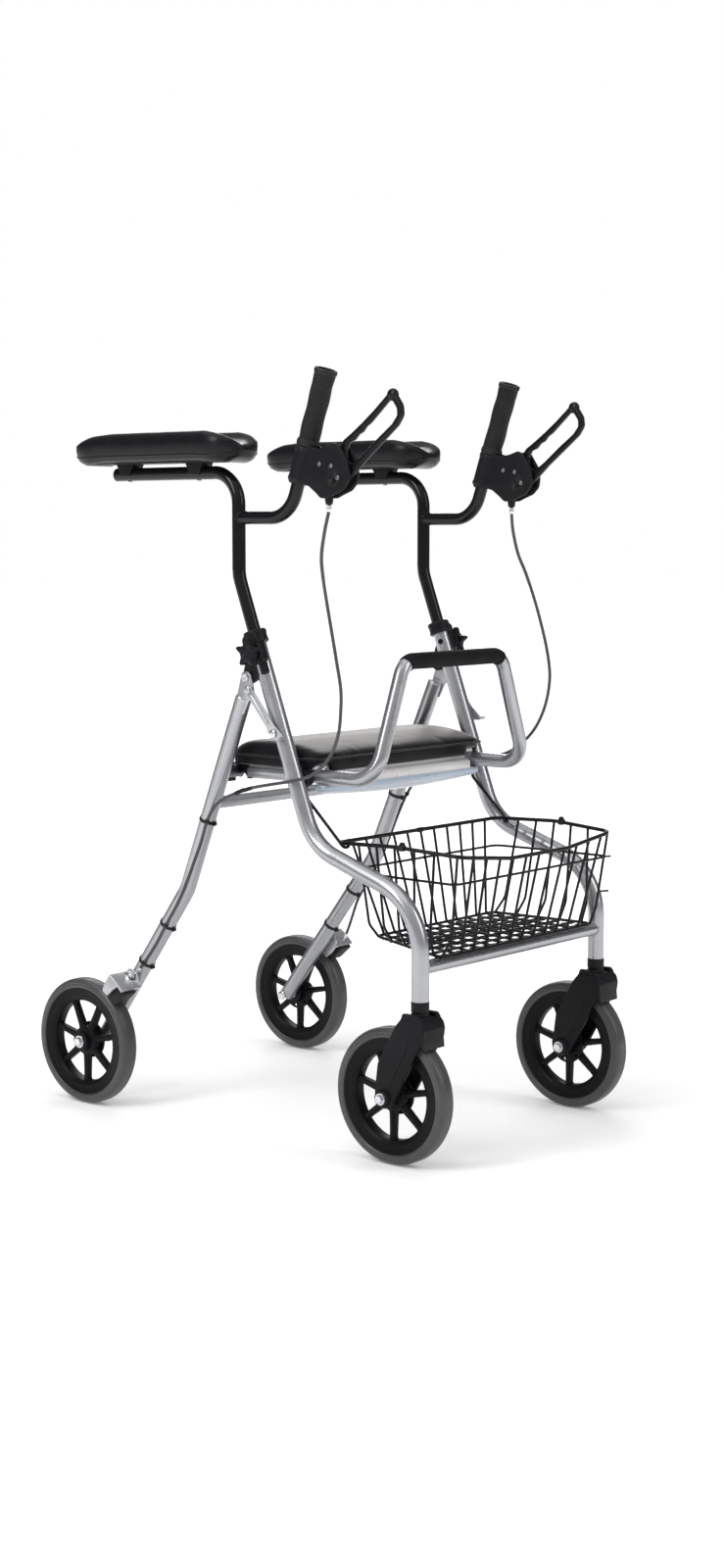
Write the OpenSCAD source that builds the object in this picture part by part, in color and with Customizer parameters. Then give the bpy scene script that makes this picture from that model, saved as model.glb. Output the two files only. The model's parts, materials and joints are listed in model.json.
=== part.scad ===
/* [Wheels] */
// outside diameter of every tyre
wheel_d = 200; // [190:1:204]
// width of every tyre
tyre_w = 30; // [24:1:34]
// distance from the middle of the walker to each axle
axle_x = 301.5; // [300:0.5:304]
// distance from the centre plane to each rear wheel
rear_wheel_y = 254.6; // [252:0.1:260]

/* [Frame tubes] */
// outside diameter of the front leg tubes
leg_d = 25.4; // [25.2:0.1:26]
// outside diameter of the sliding post tubes
post_d = 20; // [20:0.1:22]
// outside diameter of the rear leg tubes
rear_leg_d = 25; // [22:0.5:26]
// distance from the centre plane to the front legs and posts
side_y = 219; // [218.5:0.1:220]

/* [Seat and arms] */
// height of the top of the seat board above the floor
seat_z = 556; // [556:0.5:560]
// thickness of the seat cushion
seat_t = 31; // [20:1:36]
// length of each forearm pad
pad_l = 345; // [340:1:350]
// width of each forearm pad
pad_w = 94; // [76:1:100]
// height of the top of each arm tube above the floor
arm_z = 1002; // [1002:0.1:1003]

/* [Basket] */
// diameter of the basket rim wire
rim_wire = 6; // [5:0.5:6]
// diameter of the other basket wires
mesh_wire = 3.2; // [3:0.1:4]

/* [Hidden] */
F = 64;
wr = wheel_d / 2;
lean = atan(0.374);
leg_bore = post_d + 0.1;
post_top = [1, 839];
function lx(z) = 1 + 0.374 * (839 - z);
leg_top = [lx(750), side_y, 750];
leg_path = [leg_top, [147.2, side_y, 448], [348, side_y, 380], [348, side_y, 243]];
leg_bend = [87, 99];
function ry(z) = 217.8 + 0.0207 * (z - 100);
rear_top_z = 660;
rear_path = [[35.8 - 40 * 143.3 / 341.5, ry(rear_top_z), rear_top_z], [-107.5, ry(358.5), 358.5], [-axle_x, ry(100), 100]];
hinge = [28, 690];
hook_p = [35, 672];
peg_p = [lx(610), 610];
seat_p = [113, 543];
rest_p = [-31, 541];
arm_c = arm_z - post_d / 2;
brake_a = atan2(0.796, 0.605);

function unit(v) = v / norm(v);

module left() { children(); }
module right() { mirror([0, 1, 0]) children(); }

// a 2D shape drawn in X and Z, standing from y0 to y0 + h
module xz(y0, h) { translate([0, y0 + h, 0]) rotate([90, 0, 0]) linear_extrude(h) children(); }

// a round bar along Y
module ybar(x, z, y0, y1, d) { translate([x, y1, z]) rotate([90, 0, 0]) cylinder(d = d, h = y1 - y0, $fn = F); }

module rod(a, b, d, n = F) {
  v = b - a;
  l = norm(v);
  translate(a) rotate([0, acos(v[2] / l), atan2(v[1], v[0])]) cylinder(d = d, h = l, $fn = n);
}

module elbow(a, b, c, r, d, n = F) {
  u = unit(b - a);
  w = unit(c - b);
  th = acos(u * w);
  s = b - u * r * tan(th / 2);
  k = unit(cross(u, w));
  m = unit(cross(k, u));
  o = s + r * m;
  multmatrix([[-m[0], u[0], k[0], o[0]], [-m[1], u[1], k[1], o[1]], [-m[2], u[2], k[2], o[2]], [0, 0, 0, 1]])
    rotate_extrude(angle = th, $fn = 2 * n) translate([r, 0]) circle(d = d, $fn = n);
}

function cutback(p, r, i) = i <= 0 || i >= len(p) - 1 ? 0 :
  r[i - 1] * tan(acos(unit(p[i] - p[i - 1]) * unit(p[i + 1] - p[i])) / 2);

// a round bar through points p, with bend radius r at each inner point
// the straights are a hair larger and run into the bends, so each joint is a clean step
module pipe(p, r, d, n = F) {
  for (i = [0 : len(p) - 2]) {
    u = unit(p[i + 1] - p[i]);
    rod(p[i] + u * (cutback(p, r, i) - (i == 0 ? 0 : 0.3)), p[i + 1] - u * (cutback(p, r, i + 1) - (i == len(p) - 2 ? 0 : 0.3)), d, n);
  }
  if (len(p) > 2) for (i = [1 : len(p) - 2]) elbow(p[i - 1], p[i], p[i + 1], r[i - 1], d - 0.04, n);
}

function grow(p) = [for (i = [0 : len(p) - 1])
  i == 0 ? p[0] - unit(p[1] - p[0]) : i == len(p) - 1 ? p[i] + unit(p[i] - p[i - 1]) : p[i]];

module tube(p, r, d, bore) { difference() { pipe(p, r, d); pipe(grow(p), r, bore); } }

// the front leg's own frame: X down the leg, Y as the walker, Z to the front
module leg_frame() {
  s = sin(lean);
  c = cos(lean);
  multmatrix([[s, 0, c, leg_top[0]], [0, 1, 0, leg_top[1]], [-c, 0, s, leg_top[2]], [0, 0, 0, 1]]) children();
}

// ---- front frame ----
module front_leg() {
  difference() {
    tube(leg_path, leg_bend, leg_d, leg_bore);
    leg_frame() ybar(25, 3.3, -20, 20, 9);
  }
}
module front_leg_left() { color([0.72, 0.73, 0.75]) front_leg(); }
module front_leg_right() { color([0.72, 0.73, 0.75]) right() front_leg(); }

module basket_bar() {
  color([0.72, 0.73, 0.75]) difference() {
    ybar(348, 290.2, -side_y, side_y, 20);
    for (s = [-1, 1]) translate([348, s * side_y, 240]) cylinder(d = leg_d - 2.2, h = 100, $fn = F);
  }
}

module leg_clamp() {
  difference() {
    leg_frame() {
      translate([-8, 0, 0]) rotate([0, 90, 0]) cylinder(d = 35, h = 18, $fn = F);
      difference() {
        xz(0, 16.3) polygon([[-4, -13], [2, -16], [40, -16], [43, -13], [43, 11], [38, 15], [2, 15], [-4, 12]]);
        xz(15, 2) translate([0, 0]) polygon([[44, -17], [42.4, -17], [42.4, 16], [44, 16]]);
      }
      xz(0, 12.4) polygon([[6, -12], [20, -15], [45, -33.6], [51.4, -36.7], [58.5, -35.8], [63.2, -30.8], [63.9, -25.2], [62, -12], [60, 12], [38, 12]]);
    }
    leg_frame() translate([0, 0, 0]) rotate([0, 90, 0]) cylinder(d = leg_d - 0.2, h = 90, $fn = F);
    leg_frame() translate([-20, 0, 0]) rotate([0, 90, 0]) cylinder(d = post_d + 0.8, h = 40, $fn = F);
    leg_frame() ybar(25, 3.3, 0, 30, 8.1);
    ybar(hinge[0], hinge[1], 200, 260, 7.9);
    leg_frame() translate([10.01, -30, -30]) cube([60, 29.6, 60]);
  }
}
module leg_clamp_left() { color([0.09, 0.09, 0.1]) leg_clamp(); }
module leg_clamp_right() { color([0.09, 0.09, 0.1]) right() leg_clamp(); }

module caster_bushes() {
  color([0.08, 0.08, 0.09]) for (s = [-1, 1]) translate([348, s * side_y, 0]) difference() {
    union() {
      translate([0, 0, 222.3]) cylinder(d = 26.4, h = 21, $fn = F);
      translate([0, 0, 243]) cylinder(d = leg_bore + 0.2, h = 38, $fn = F);
    }
    translate([0, 0, 220]) cylinder(d = 12.1, h = 70, $fn = F);
  }
}

// hinge pins for the rear frame and pegs for the lock hooks
module frame_pins() {
  color([0.6, 0.6, 0.62]) for (s = [0, 1]) mirror([0, s, 0]) {
    ybar(hinge[0], hinge[1], 219.4, 235.9, 8);
    ybar(hinge[0], hinge[1], 235.8, 238.6, 12);
    ybar(peg_p[0], peg_p[1], 230.3, 240.6, 8);
    ybar(peg_p[0], peg_p[1], 240.4, 242.4, 12);
  }
}

// black spacers between each leg and the seat rail, with the pivot pin
module seat_pivots() {
  color([0.07, 0.07, 0.08]) for (s = [0, 1]) mirror([0, s, 0]) difference() {
    union() {
      ybar(seat_p[0], seat_p[1], 193.5, 212, 27);
      ybar(seat_p[0], seat_p[1], 170.4, 194, 10);
      ybar(seat_p[0], seat_p[1], 167.5, 170.6, 17);
    }
    leg_frame() translate([150, 0, 0]) rotate([0, 90, 0]) cylinder(d = leg_d - 2.2, h = 120, $fn = F);
  }
}

// wire hooks that carry the back corners of the basket
module basket_hangers() {
  color([0.06, 0.06, 0.07]) for (s = [0, 1]) mirror([0, s, 0])
    pipe([[116, 200.8, 534], [118, 200.8, 514], [190, 200.8, 446.7], [190, 189, 446.7], [190, 189, 459]], [8, 5, 5], 5, 32);
}

module height_knob() {
  p = [leg_top[0] + 25 * sin(lean) + 3.3 * cos(lean), leg_top[2] - 25 * cos(lean) + 3.3 * sin(lean)];
  ybar(p[0], p[1], 230.6, 240, 8);
  ybar(p[0], p[1], 235.8, 242, 17);
  xz(241.6, 13) translate(p) {
    circle(r = 15.5, $fn = F);
    for (i = [0 : 4]) rotate(i * 72 + 18) translate([16, 0]) circle(r = 6.6, $fn = 32);
  }
  ybar(p[0], p[1], 254.4, 256.4, 18);
}
module height_knob_left() { color([0.06, 0.06, 0.07]) height_knob(); }
module height_knob_right() { color([0.06, 0.06, 0.07]) right() height_knob(); }

// ---- rear frame ----
module rear_leg() {
  difference() {
    tube(rear_path, [83], rear_leg_d, rear_leg_d - 3.2);
    ybar(-axle_x, 100, 200, 240, 10);
  }
}
module rear_leg_left() { color([0.72, 0.73, 0.75]) rear_leg(); }
module rear_leg_right() { color([0.72, 0.73, 0.75]) right() rear_leg(); }

module rear_cross_bar() {
  color([0.72, 0.73, 0.75]) difference() {
    ybar(-49.4, 497, -226, 226, 20);
    for (s = [0, 1]) mirror([0, s, 0])
      rod([35.8, ry(700), 700], [-107.5, ry(358.5), 358.5], rear_leg_d - 2);
  }
}

module rear_leg_lugs() {
  color([0.75, 0.76, 0.78]) for (s = [0, 1]) mirror([0, s, 0]) {
    u = unit(rear_path[1] - rear_path[0]);
    intersection() {
      rod(rear_path[0] + u * 26, rear_path[0] - u * 2, rear_leg_d - 3);
      translate([-80, 200, 600]) cube([200, 60, 60.6]);
    }
    difference() {
      xz(232.1, 3.4) {
        translate(hinge) circle(r = 10, $fn = F);
        translate(hook_p) circle(r = 8.5, $fn = F);
        polygon([[18.2, 692], [37.9, 691], [43.4, 671], [38.7, 664.4], [31, 655], [22, 637], [6, 642], [10, 662]]);
      }
      ybar(hinge[0], hinge[1], 220, 250, 8.1);
    }
    ybar(hook_p[0], hook_p[1], 233, 239.5, 6);
    ybar(hook_p[0], hook_p[1], 239.3, 241.6, 12);
  }
}

module seat_rest_pegs() {
  color([0.2, 0.2, 0.21]) for (s = [0, 1]) mirror([0, s, 0]) difference() {
    union() {
      ybar(rest_p[0], rest_p[1], 186, 222, 12);
      ybar(rest_p[0], rest_p[1], 183, 186.2, 14);
    }
    rod([35.8, ry(700), 700], [-107.5, ry(358.5), 358.5], rear_leg_d - 2);
  }
}

module rear_axles() {
  color([0.78, 0.78, 0.8]) for (s = [0, 1]) mirror([0, s, 0]) {
    ybar(-axle_x, 100, 204, 275, 10);
    ybar(-axle_x, 100, 230.5, rear_wheel_y - 18.5, 16);
    ybar(-axle_x, 100, rear_wheel_y + 18.6, rear_wheel_y + 24, 16);
    ybar(-axle_x, 100, 201, 205.4, 16);
    q = [-axle_x + 141 * 0.605, 100 + 141 * 0.796];
    ybar(q[0], q[1], 226, 240.6, 8);
    ybar(q[0], q[1], 240.4, 244, 13);
  }
}

module cable_ties() {
  color([0.05, 0.05, 0.06]) for (s = [0, 1]) mirror([0, s, 0])
    for (z = [470, 300, 235]) {
      a = z > 358.5 ? [-107.5 + (z - 358.5) * 143.3 / 341.5, ry(z), z] : [-axle_x + (z - 100) * 0.7505, ry(z), z];
      u = z > 358.5 ? unit([143.3, 7, 341.5]) : unit([194, 5.3, 258.5]);
      difference() {
        rod(a - u * 3, a + u * 3, rear_leg_d + 2.4);
        rod(a - u * 5, a + u * 5, rear_leg_d - 0.4);
      }
    }
}

// ---- rear brake: arched cover, cheeks and shoe ----
module sector(t0, t1) {
  translate([-axle_x, 100]) polygon([[0, 0], [200 * cos(t1), 200 * sin(t1)], [220 * cos((t0 + t1) / 2), 220 * sin((t0 + t1) / 2)], [200 * cos(t0), 200 * sin(t0)]]);
}
module band(r0, r1) { translate([-axle_x, 100]) difference() { circle(r = r1, $fn = 2 * F); circle(r = r0, $fn = 2 * F); } }
module brake_arm() {
  q = [-axle_x + 141 * 0.605, 100 + 141 * 0.796];
  difference() {
    union() {
      xz(234, 43) intersection() { band(135.5, 139); sector(43, 58); }
      xz(234, 4) {
        translate(q) circle(r = 9, $fn = F);
        intersection() { band(105, 146); sector(44, 58); }
      }
      xz(273, 4) intersection() { band(107, 139); sector(49, 58); }
    }
    ybar(q[0], q[1], 225, 250, 8.1);
    ybar(q[0], q[1], 238, 246, 14);
  }
}
module brake_arm_left() { color([0.76, 0.77, 0.79]) brake_arm(); }
module brake_arm_right() { color([0.76, 0.77, 0.79]) right() brake_arm(); }

module brake_shoe() {
  xz(246.5, 25.5) intersection() { band(103, 135.7); sector(41, 54); }
}
module brake_shoe_left() { color([0.05, 0.05, 0.06]) brake_shoe(); }
module brake_shoe_right() { color([0.05, 0.05, 0.06]) right() brake_shoe(); }

// ---- lock hook ----
module lock_hook() {
  v = peg_p - hook_p;
  a = atan2(v[1], v[0]);
  l = norm(v);
  xz(236.1, 3) translate(hook_p) rotate(a) difference() {
    union() {
      circle(r = 7.5, $fn = F);
      polygon([[0, -5.5], [l - 12, -5.5], [l - 9, -8], [l - 5.6, -8], [l - 5.6, 9], [0, 7.5]]);
      translate([l, 1]) circle(r = 9.6, $fn = F);
      polygon([[l + 3, 10.2], [l + 17, 13], [l + 17, 7.5], [l + 8.4, -4]]);
    }
    circle(d = 6.1, $fn = F);
    translate([l, 0]) circle(d = 9.2, $fn = F);
    polygon([[l - 4.6, 0], [l + 4.6, 0], [l + 6.2, -16], [l - 5.4, -16]]);
  }
  translate([hook_p[0], 0, hook_p[1]]) rotate([0, -a, 0]) translate([l + 14.5, 236.1, 7.4]) cube([2.6, 12, 5.4]);
}
module lock_hook_left() { color([0.66, 0.67, 0.69]) lock_hook(); }
module lock_hook_right() { color([0.66, 0.67, 0.69]) right() lock_hook(); }

// ---- wheels ----
module rim() {
  rotate([90, 0, 0]) {
    difference() {
      union() {
        translate([0, 0, -18.2]) cylinder(d = 30, h = 36.4, $fn = F);
        translate([0, 0, -7]) cylinder(d = 46, h = 14, $fn = F);
        rotate_extrude($fn = 2 * F) polygon([[65, -9], [68, -12.5], [85, -12.5], [85, 12.5], [68, 12.5], [65, 9]]);
        for (i = [0 : 6]) rotate(i * 360 / 7 - 91) translate([18, -4.5, -5]) cube([50, 9, 10]);
      }
      translate([0, 0, -20]) cylinder(d = 10.1, h = 40, $fn = F);
    }
  }
}
module tyre_solid() {
  h = tyre_w / 2;
  rotate([90, 0, 0]) rotate_extrude($fn = 2 * F)
    polygon([[84.9, -h + 2], [88, -h], [92, -h], [96, -h + 2.6], [98.8, -h + 6.5], [wr, -h + 11],
      [wr, h - 11], [98.8, h - 6.5], [96, h - 2.6], [92, h], [88, h], [84.9, h - 2]]);
}
module at_rear() { translate([-axle_x, rear_wheel_y, 100]) children(); }
module at_front() { translate([axle_x, side_y, 100]) children(); }
module rear_rim_left() { color([0.07, 0.07, 0.08]) at_rear() rim(); }
module rear_rim_right() { color([0.07, 0.07, 0.08]) right() at_rear() rim(); }
module rear_tyre_left() { color([0.35, 0.35, 0.36]) at_rear() tyre_solid(); }
module rear_tyre_right() { color([0.35, 0.35, 0.36]) right() at_rear() tyre_solid(); }
module front_rim_left() { color([0.07, 0.07, 0.08]) at_front() rim(); }
module front_rim_right() { color([0.07, 0.07, 0.08]) right() at_front() rim(); }
module front_tyre_left() { color([0.35, 0.35, 0.36]) at_front() tyre_solid(); }
module front_tyre_right() { color([0.35, 0.35, 0.36]) right() at_front() tyre_solid(); }

// ---- casters ----
module caster_fork() {
  difference() {
    intersection() {
      union() {
        xz(side_y - 26, 52) {
          polygon([[332, 221.8], [364, 221.8], [370, 216], [373.5, 206], [372, 194], [366, 184], [357, 168], [344, 142],
            [317, 94.5], [287.5, 95], [285.2, 110], [290, 150], [303, 172], [322, 206]]);
          translate([axle_x, 100]) circle(r = 16.5, $fn = F);
        }
        ybar(axle_x, 100, side_y - 33, side_y + 33, 25);
      }
      translate([200, 0, 0]) rotate([90, 0, 90]) linear_extrude(200) translate([side_y, 0])
        polygon([[-22, 222], [22, 222], [26, 206], [26, 130], [36, 120], [36, 60], [-36, 60], [-36, 120], [-26, 130], [-26, 206]]);
    }
    xz(side_y - 18.5, 37) {
      translate([axle_x, 100]) circle(r = 106, $fn = 2 * F);
      polygon([[200, 60], [420, 60], [420, 101], [200, 101]]);
    }
    ybar(axle_x, 100, side_y - 50, side_y + 50, 9.9);
  }
}
module caster_fork_left() { color([0.07, 0.07, 0.08]) caster_fork(); }
module caster_fork_right() { color([0.07, 0.07, 0.08]) right() caster_fork(); }

module caster_stem() {
  translate([348, side_y, 207.5]) cylinder(d = 12, h = 80, $fn = F);
  translate([348, side_y, 281.4]) cylinder(d = 18, h = 5, $fn = F);
}
module caster_stem_left() { color([0.7, 0.7, 0.72]) caster_stem(); }
module caster_stem_right() { color([0.7, 0.7, 0.72]) right() caster_stem(); }

module caster_axle() {
  ybar(axle_x, 100, side_y - 36, side_y + 36, 10);
  for (s = [-1, 1]) ybar(axle_x, 100, side_y + s * 35.6 - 2.8, side_y + s * 35.6 + 2.8, 15);
}
module caster_axle_left() { color([0.78, 0.78, 0.8]) caster_axle(); }
module caster_axle_right() { color([0.78, 0.78, 0.8]) right() caster_axle(); }

// ---- posts, grips, brakes and arm pads ----
arm_path = [[-255, side_y, arm_c], [1, side_y, arm_c], [1, side_y, 839], [lx(600), side_y, 600]];
branch_path = [[1, side_y, 925], [102.8, side_y, 925], [170.9, side_y, 1127]];
module armrest_tube() {
  difference() {
    union() {
      pipe(arm_path, [48, 55], post_d);
      pipe(branch_path, [50], post_d - 0.4);
    }
    pipe(grow(arm_path), [48, 55], post_d - 3);
    pipe([branch_path[0], branch_path[1], branch_path[2] + unit(branch_path[2] - branch_path[1])], [50], post_d - 3.4);
  }
}
module armrest_tube_left() { color([0.05, 0.05, 0.06]) armrest_tube(); }
module armrest_tube_right() { color([0.05, 0.05, 0.06]) right() armrest_tube(); }

gu = unit([68.1, 0, 202]);
g0 = [137.7, side_y, 1028.4];
module hand_grip() {
  difference() {
    union() {
      rod(g0, g0 + gu * 109, 31);
      rod(g0 + gu * 3, g0 + gu * 9, 34);
      rod(g0 + gu * 104, g0 + gu * 112, 33);
    }
    rod(g0 - gu * 2, g0 + gu * 105, post_d - 0.2);
  }
}
module hand_grip_left() { color([0.06, 0.06, 0.07]) hand_grip(); }
module hand_grip_right() { color([0.06, 0.06, 0.07]) right() hand_grip(); }

lever_p = [197, 981];
module brake_housing() {
  difference() {
    union() {
      difference() {
        xz(side_y - 13, 26) polygon([[126, 1027], [150, 1029], [166, 1023], [180, 1026], [200, 1033], [209, 1029], [225, 1003],
          [226, 985], [224, 974], [213, 963], [198, 957.5], [187, 952], [173, 952], [165, 958.5], [150, 969.5], [132, 974], [112, 974]]);
        xz(side_y - 7, 14) polygon([[163, 966], [240, 966], [240, 1045], [163, 1045]]);
      }
      rod(g0 - gu * 54, g0 - gu * 0.6, 33);
      rod([178.5, side_y, 953], [178.5, side_y, 936], 9);
      ybar(lever_p[0], lever_p[1], side_y - 14.6, side_y + 14.6, 8);
      for (p = [[162, 1000], [184, 963]]) ybar(p[0], p[1], side_y - 14, side_y + 14, 7);
    }
    rod(g0 - gu * 60, g0 + gu * 10, post_d - 0.2);
    rod(g0 - gu * 0.3, g0 + gu * 60, 31.8);
    rod([178.5, side_y, 946], [178.5, side_y, 930], 5);
  }
}
module brake_housing_left() { color([0.06, 0.06, 0.07]) brake_housing(); }
module brake_housing_right() { color([0.06, 0.06, 0.07]) right() brake_housing(); }

module brake_lever() {
  difference() {
    union() {
      ybar(lever_p[0], lever_p[1], side_y - 6.6, side_y + 6.6, 26);
      ybar(296.5, 1094, side_y - 5, side_y + 5, 17.6);
      xz(side_y - 4.5, 9) polygon([[186, 988], [195, 1011], [207, 1033], [224.5, 1044], [242.5, 1056.8], [264.5, 1073.8], [289, 1096], [297, 1099], [304, 1094],
        [313.8, 1079], [315.6, 1065], [306, 1051.5], [277.4, 1028.4], [249.4, 1006.4], [224, 984], [204, 971]]);
    }
    xz(side_y - 10, 20) polygon([[214, 1005], [212, 1021], [217, 1030], [228, 1034], [234, 1041], [242, 1045], [248, 1052], [256, 1056.5], [290, 1086],
      [297, 1085], [306, 1074], [305.5, 1065], [297, 1054], [270, 1034], [244, 1013], [226, 1000]]);
    ybar(lever_p[0], lever_p[1], side_y - 20, side_y + 20, 8.1);
  }
}
module brake_lever_left() { color([0.05, 0.05, 0.06]) brake_lever(); }
module brake_lever_right() { color([0.05, 0.05, 0.06]) right() brake_lever(); }

pad_x = -152;
module pad_base() {
  difference() {
    union() {
      translate([pad_x - 131, side_y - 26, arm_z + 5.5]) cube([262, 52, 5.7]);
      for (x = [-228, -80]) translate([x - 8, side_y - 12.5, arm_z - 16]) cube([16, 25, 22]);
    }
    rod([-300, side_y, arm_c], [20, side_y, arm_c], post_d - 0.2);
  }
}
module pad_base_left() { color([0.1, 0.1, 0.11]) pad_base(); }
module pad_base_right() { color([0.1, 0.1, 0.11]) right() pad_base(); }

module forearm_pad() {
  w = pad_w / 2;
  z = arm_z + 10.9;
  intersection() {
    translate([pad_x - pad_l / 2, side_y, z]) rotate([90, 0, 90]) linear_extrude(pad_l)
      polygon([[-w + 12, 0], [w - 12, 0], [w - 3, 7], [w, 18], [w - 1, 32], [w - 6, 39], [w - 13, 41], [w - 21, 36], [w - 32, 29],
        [0, 27], [-w + 32, 29], [-w + 21, 36], [-w + 13, 41], [-w + 6, 39], [-w + 1, 32], [-w, 18], [-w + 3, 7]]);
    translate([pad_x, side_y, z - 1]) linear_extrude(60) {
      for (s = [-1, 1]) translate([s * (pad_l / 2 - w), 0]) circle(r = w, $fn = F);
      square([pad_l - 2 * w, 2 * w], center = true);
    }
    xz(side_y - 60, 120) translate([pad_x, z]) polygon([[-pad_l / 2 - 1, -1], [pad_l / 2 + 1, -1], [pad_l / 2 + 1, 19], [pad_l / 2 - 12, 33], [pad_l / 2 - 40, 42],
      [60 - pad_l / 2, 42], [22 - pad_l / 2, 33], [5 - pad_l / 2, 22], [-pad_l / 2 - 1, 12]]);
  }
}
module forearm_pad_left() { color([0.05, 0.05, 0.05]) forearm_pad(); }
module forearm_pad_right() { color([0.05, 0.05, 0.05]) right() forearm_pad(); }

// ---- seat ----
seat_path = [[-14, 182, 545], [234, 182, 545], [235, 118, 716], [235, -118, 716], [234, -182, 545], [-14, -182, 545]];
seat_bend = [40, 30, 30, 40];
module seat_frame() {
  color([0.72, 0.73, 0.75]) difference() {
    pipe(seat_path, seat_bend, 22);
    pipe(grow(seat_path), seat_bend, 19);
    for (s = [0, 1]) mirror([0, s, 0]) ybar(seat_p[0], seat_p[1], 160, 200, 10.1);
  }
}
// flat pan with a deep rounded lip along its front edge
module seat_board() {
  color([0.72, 0.74, 0.76]) translate([0, 0, seat_z - 556]) difference() {
    union() {
      translate([-30, -193, 555.7]) cube([156, 386, 6]);
      xz(-165.5, 331) polygon([[121.5, 530], [121.5, 561.7], [128, 561.7], [128, 546], [138, 546], [140.6, 541], [141, 530]]);
      xz(-188, 376) polygon([[121.5, 533], [141, 533], [140.8, 522], [138, 516], [132, 513.5], [126, 515], [122.5, 519]]);
    }
    for (s = [-1, 1]) rod([-60, s * 182, 545 + 556 - seat_z], [260, s * 182, 545 + 556 - seat_z], 22.4);
  }
}
module seat_cushion() {
  color([0.13, 0.13, 0.14]) translate([52, 0, seat_z + 5.9]) {
    intersection() {
      translate([0, 203, 0]) rotate([90, 0, 0]) linear_extrude(406)
        polygon([[-84, 0], [84, 0], [86, 3], [86, 10], [83.5, 14], [72, 19], [50, 25.5], [26, seat_t - 0.4], [-30, seat_t - 0.4], [-60, seat_t - 3], [-78, 25], [-85, 18], [-86, 8]]);
      linear_extrude(40) difference() {
        square([176, 406], center = true);
        for (a = [-1, 1], b = [-1, 1]) translate([a * 86, b * 203]) rotate(45) square([14, 14], center = true);
      }
    }
    // the front edge rolls down over the lip of the pan
    xz(-168, 336) polygon([[76.4, -15.4], [83, -15.4], [85.5, -12.5], [85.5, 4], [76.4, 4]]);
  }
}
// the sleeve ends part way round each bend of the loop
foam_c = 118 - 30 * tan(34.74) + 30 * tan(21);
foam_path = [[235, foam_c + 12.4 * cos(42), 716 - 12.4 * sin(42)], [235, foam_c, 716], [235, -foam_c, 716], [235, -foam_c - 12.4 * cos(42), 716 - 12.4 * sin(42)]];
module loop_foam() {
  color([0.05, 0.05, 0.05]) difference() {
    pipe(foam_path, [30, 30], 27);
    pipe(grow(foam_path), [30, 30], 21.8);
  }
}
// open saddles under the back ends of the rails
module seat_saddles() {
  color([0.06, 0.06, 0.07]) for (s = [0, 1]) mirror([0, s, 0]) {
    difference() {
      union() {
        ybar(rest_p[0], rest_p[1], 188, 204, 28);
        translate([-44, 188, 543]) cube([34, 6, 14]);
        rod([-15, 182, 545], [-10, 182, 545], 25);
        rod([-14.5, 182, 545], [-2, 182, 545], 18.8);
      }
      ybar(rest_p[0], rest_p[1], 187, 214, 12.8);
      xz(187, 20) translate(rest_p) rotate(-54) polygon([[0, -8], [30, -28], [30, 28], [0, 8]]);
      ybar(rest_p[0], rest_p[1], 170, 188, 17);
    }
  }
}

// ---- basket ----
// rim height and width along the side, floor height and width
function rim_y(x) = x < 284 ? 195 + (x - 172) / 56 : 197 - 11 * (x - 284) / 112;
function rim_z(x) = x < 284 ? 452 + 3.5 * (x - 172) / 112 : 455.5 - 6.5 * (x - 284) / 112;
function floor_z(x) = 310 - 7 * (x - 204) / 160;
function floor_y(x) = 142 + 48 * (x - 204) / 160;
module wire_basket() {
  color([0.05, 0.05, 0.06]) {
    // rim, joined by a short collar at the back
    pipe([[172, -0.5, 452], [172, -195, 452], [284, -197, 455.5], [396, -186, 449], [396, -70, 436], [396, 70, 436], [396, 186, 449],
      [284, 197, 455.5], [172, 195, 452], [172, 0.5, 452]], [16, 60, 18, 60, 60, 18, 60, 16], rim_wire, 24);
    ybar(172, 452, -7, 7, rim_wire + 1);
    // floor loop and the thicker front band
    pipe([[364, 60, 303], [364, 190, 303], [204, 142, 310], [204, -142, 310], [364, -190, 303], [364, -60, 303]], [14, 14, 14, 14], 4.4, 24);
    ybar(364, 303, -165, 165, 5.2);
    // wires that run down the front, along the floor and up the back
    for (i = [-5 : 5]) {
      y = i * 29;
      zf = abs(y * 1.1) <= 70 ? 436 : 436 + 13 * (abs(y * 1.1) - 70) / 116;
      pipe([[396, y * 1.1, zf], [364, y, 301.5], [204, y * 0.86, 308.5], [172, y * 1.12, 452]], [8, 8], mesh_wire, 16);
    }
    // side wires
    for (s = [0, 1]) mirror([0, s, 0]) for (i = [0 : 4]) {
      x = 214 + i * 34;
      f = x - 6;
      pipe([[x, rim_y(x), rim_z(x)], [x - 4, floor_y(f) + 24 - i * 3.4, 332], [f, floor_y(f), floor_z(f)]], [24], mesh_wire, 16);
    }
    // belt
    pipe([[180, 0.5, 410], [180, 181.5, 410], [282, 189.6, 410], [388.6, 190.9, 410], [388.6, -190.9, 410], [282, -189.6, 410], [180, -181.5, 410], [180, -0.5, 410]],
      [14, 60, 14, 14, 60, 14], mesh_wire, 16);
    ybar(180, 410, -4, 4, mesh_wire + 1);
    // floor rods
    for (i = [0 : 4]) { x = 226 + i * 28; ybar(x, floor_z(x), -floor_y(x), floor_y(x), mesh_wire); }
  }
}

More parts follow.
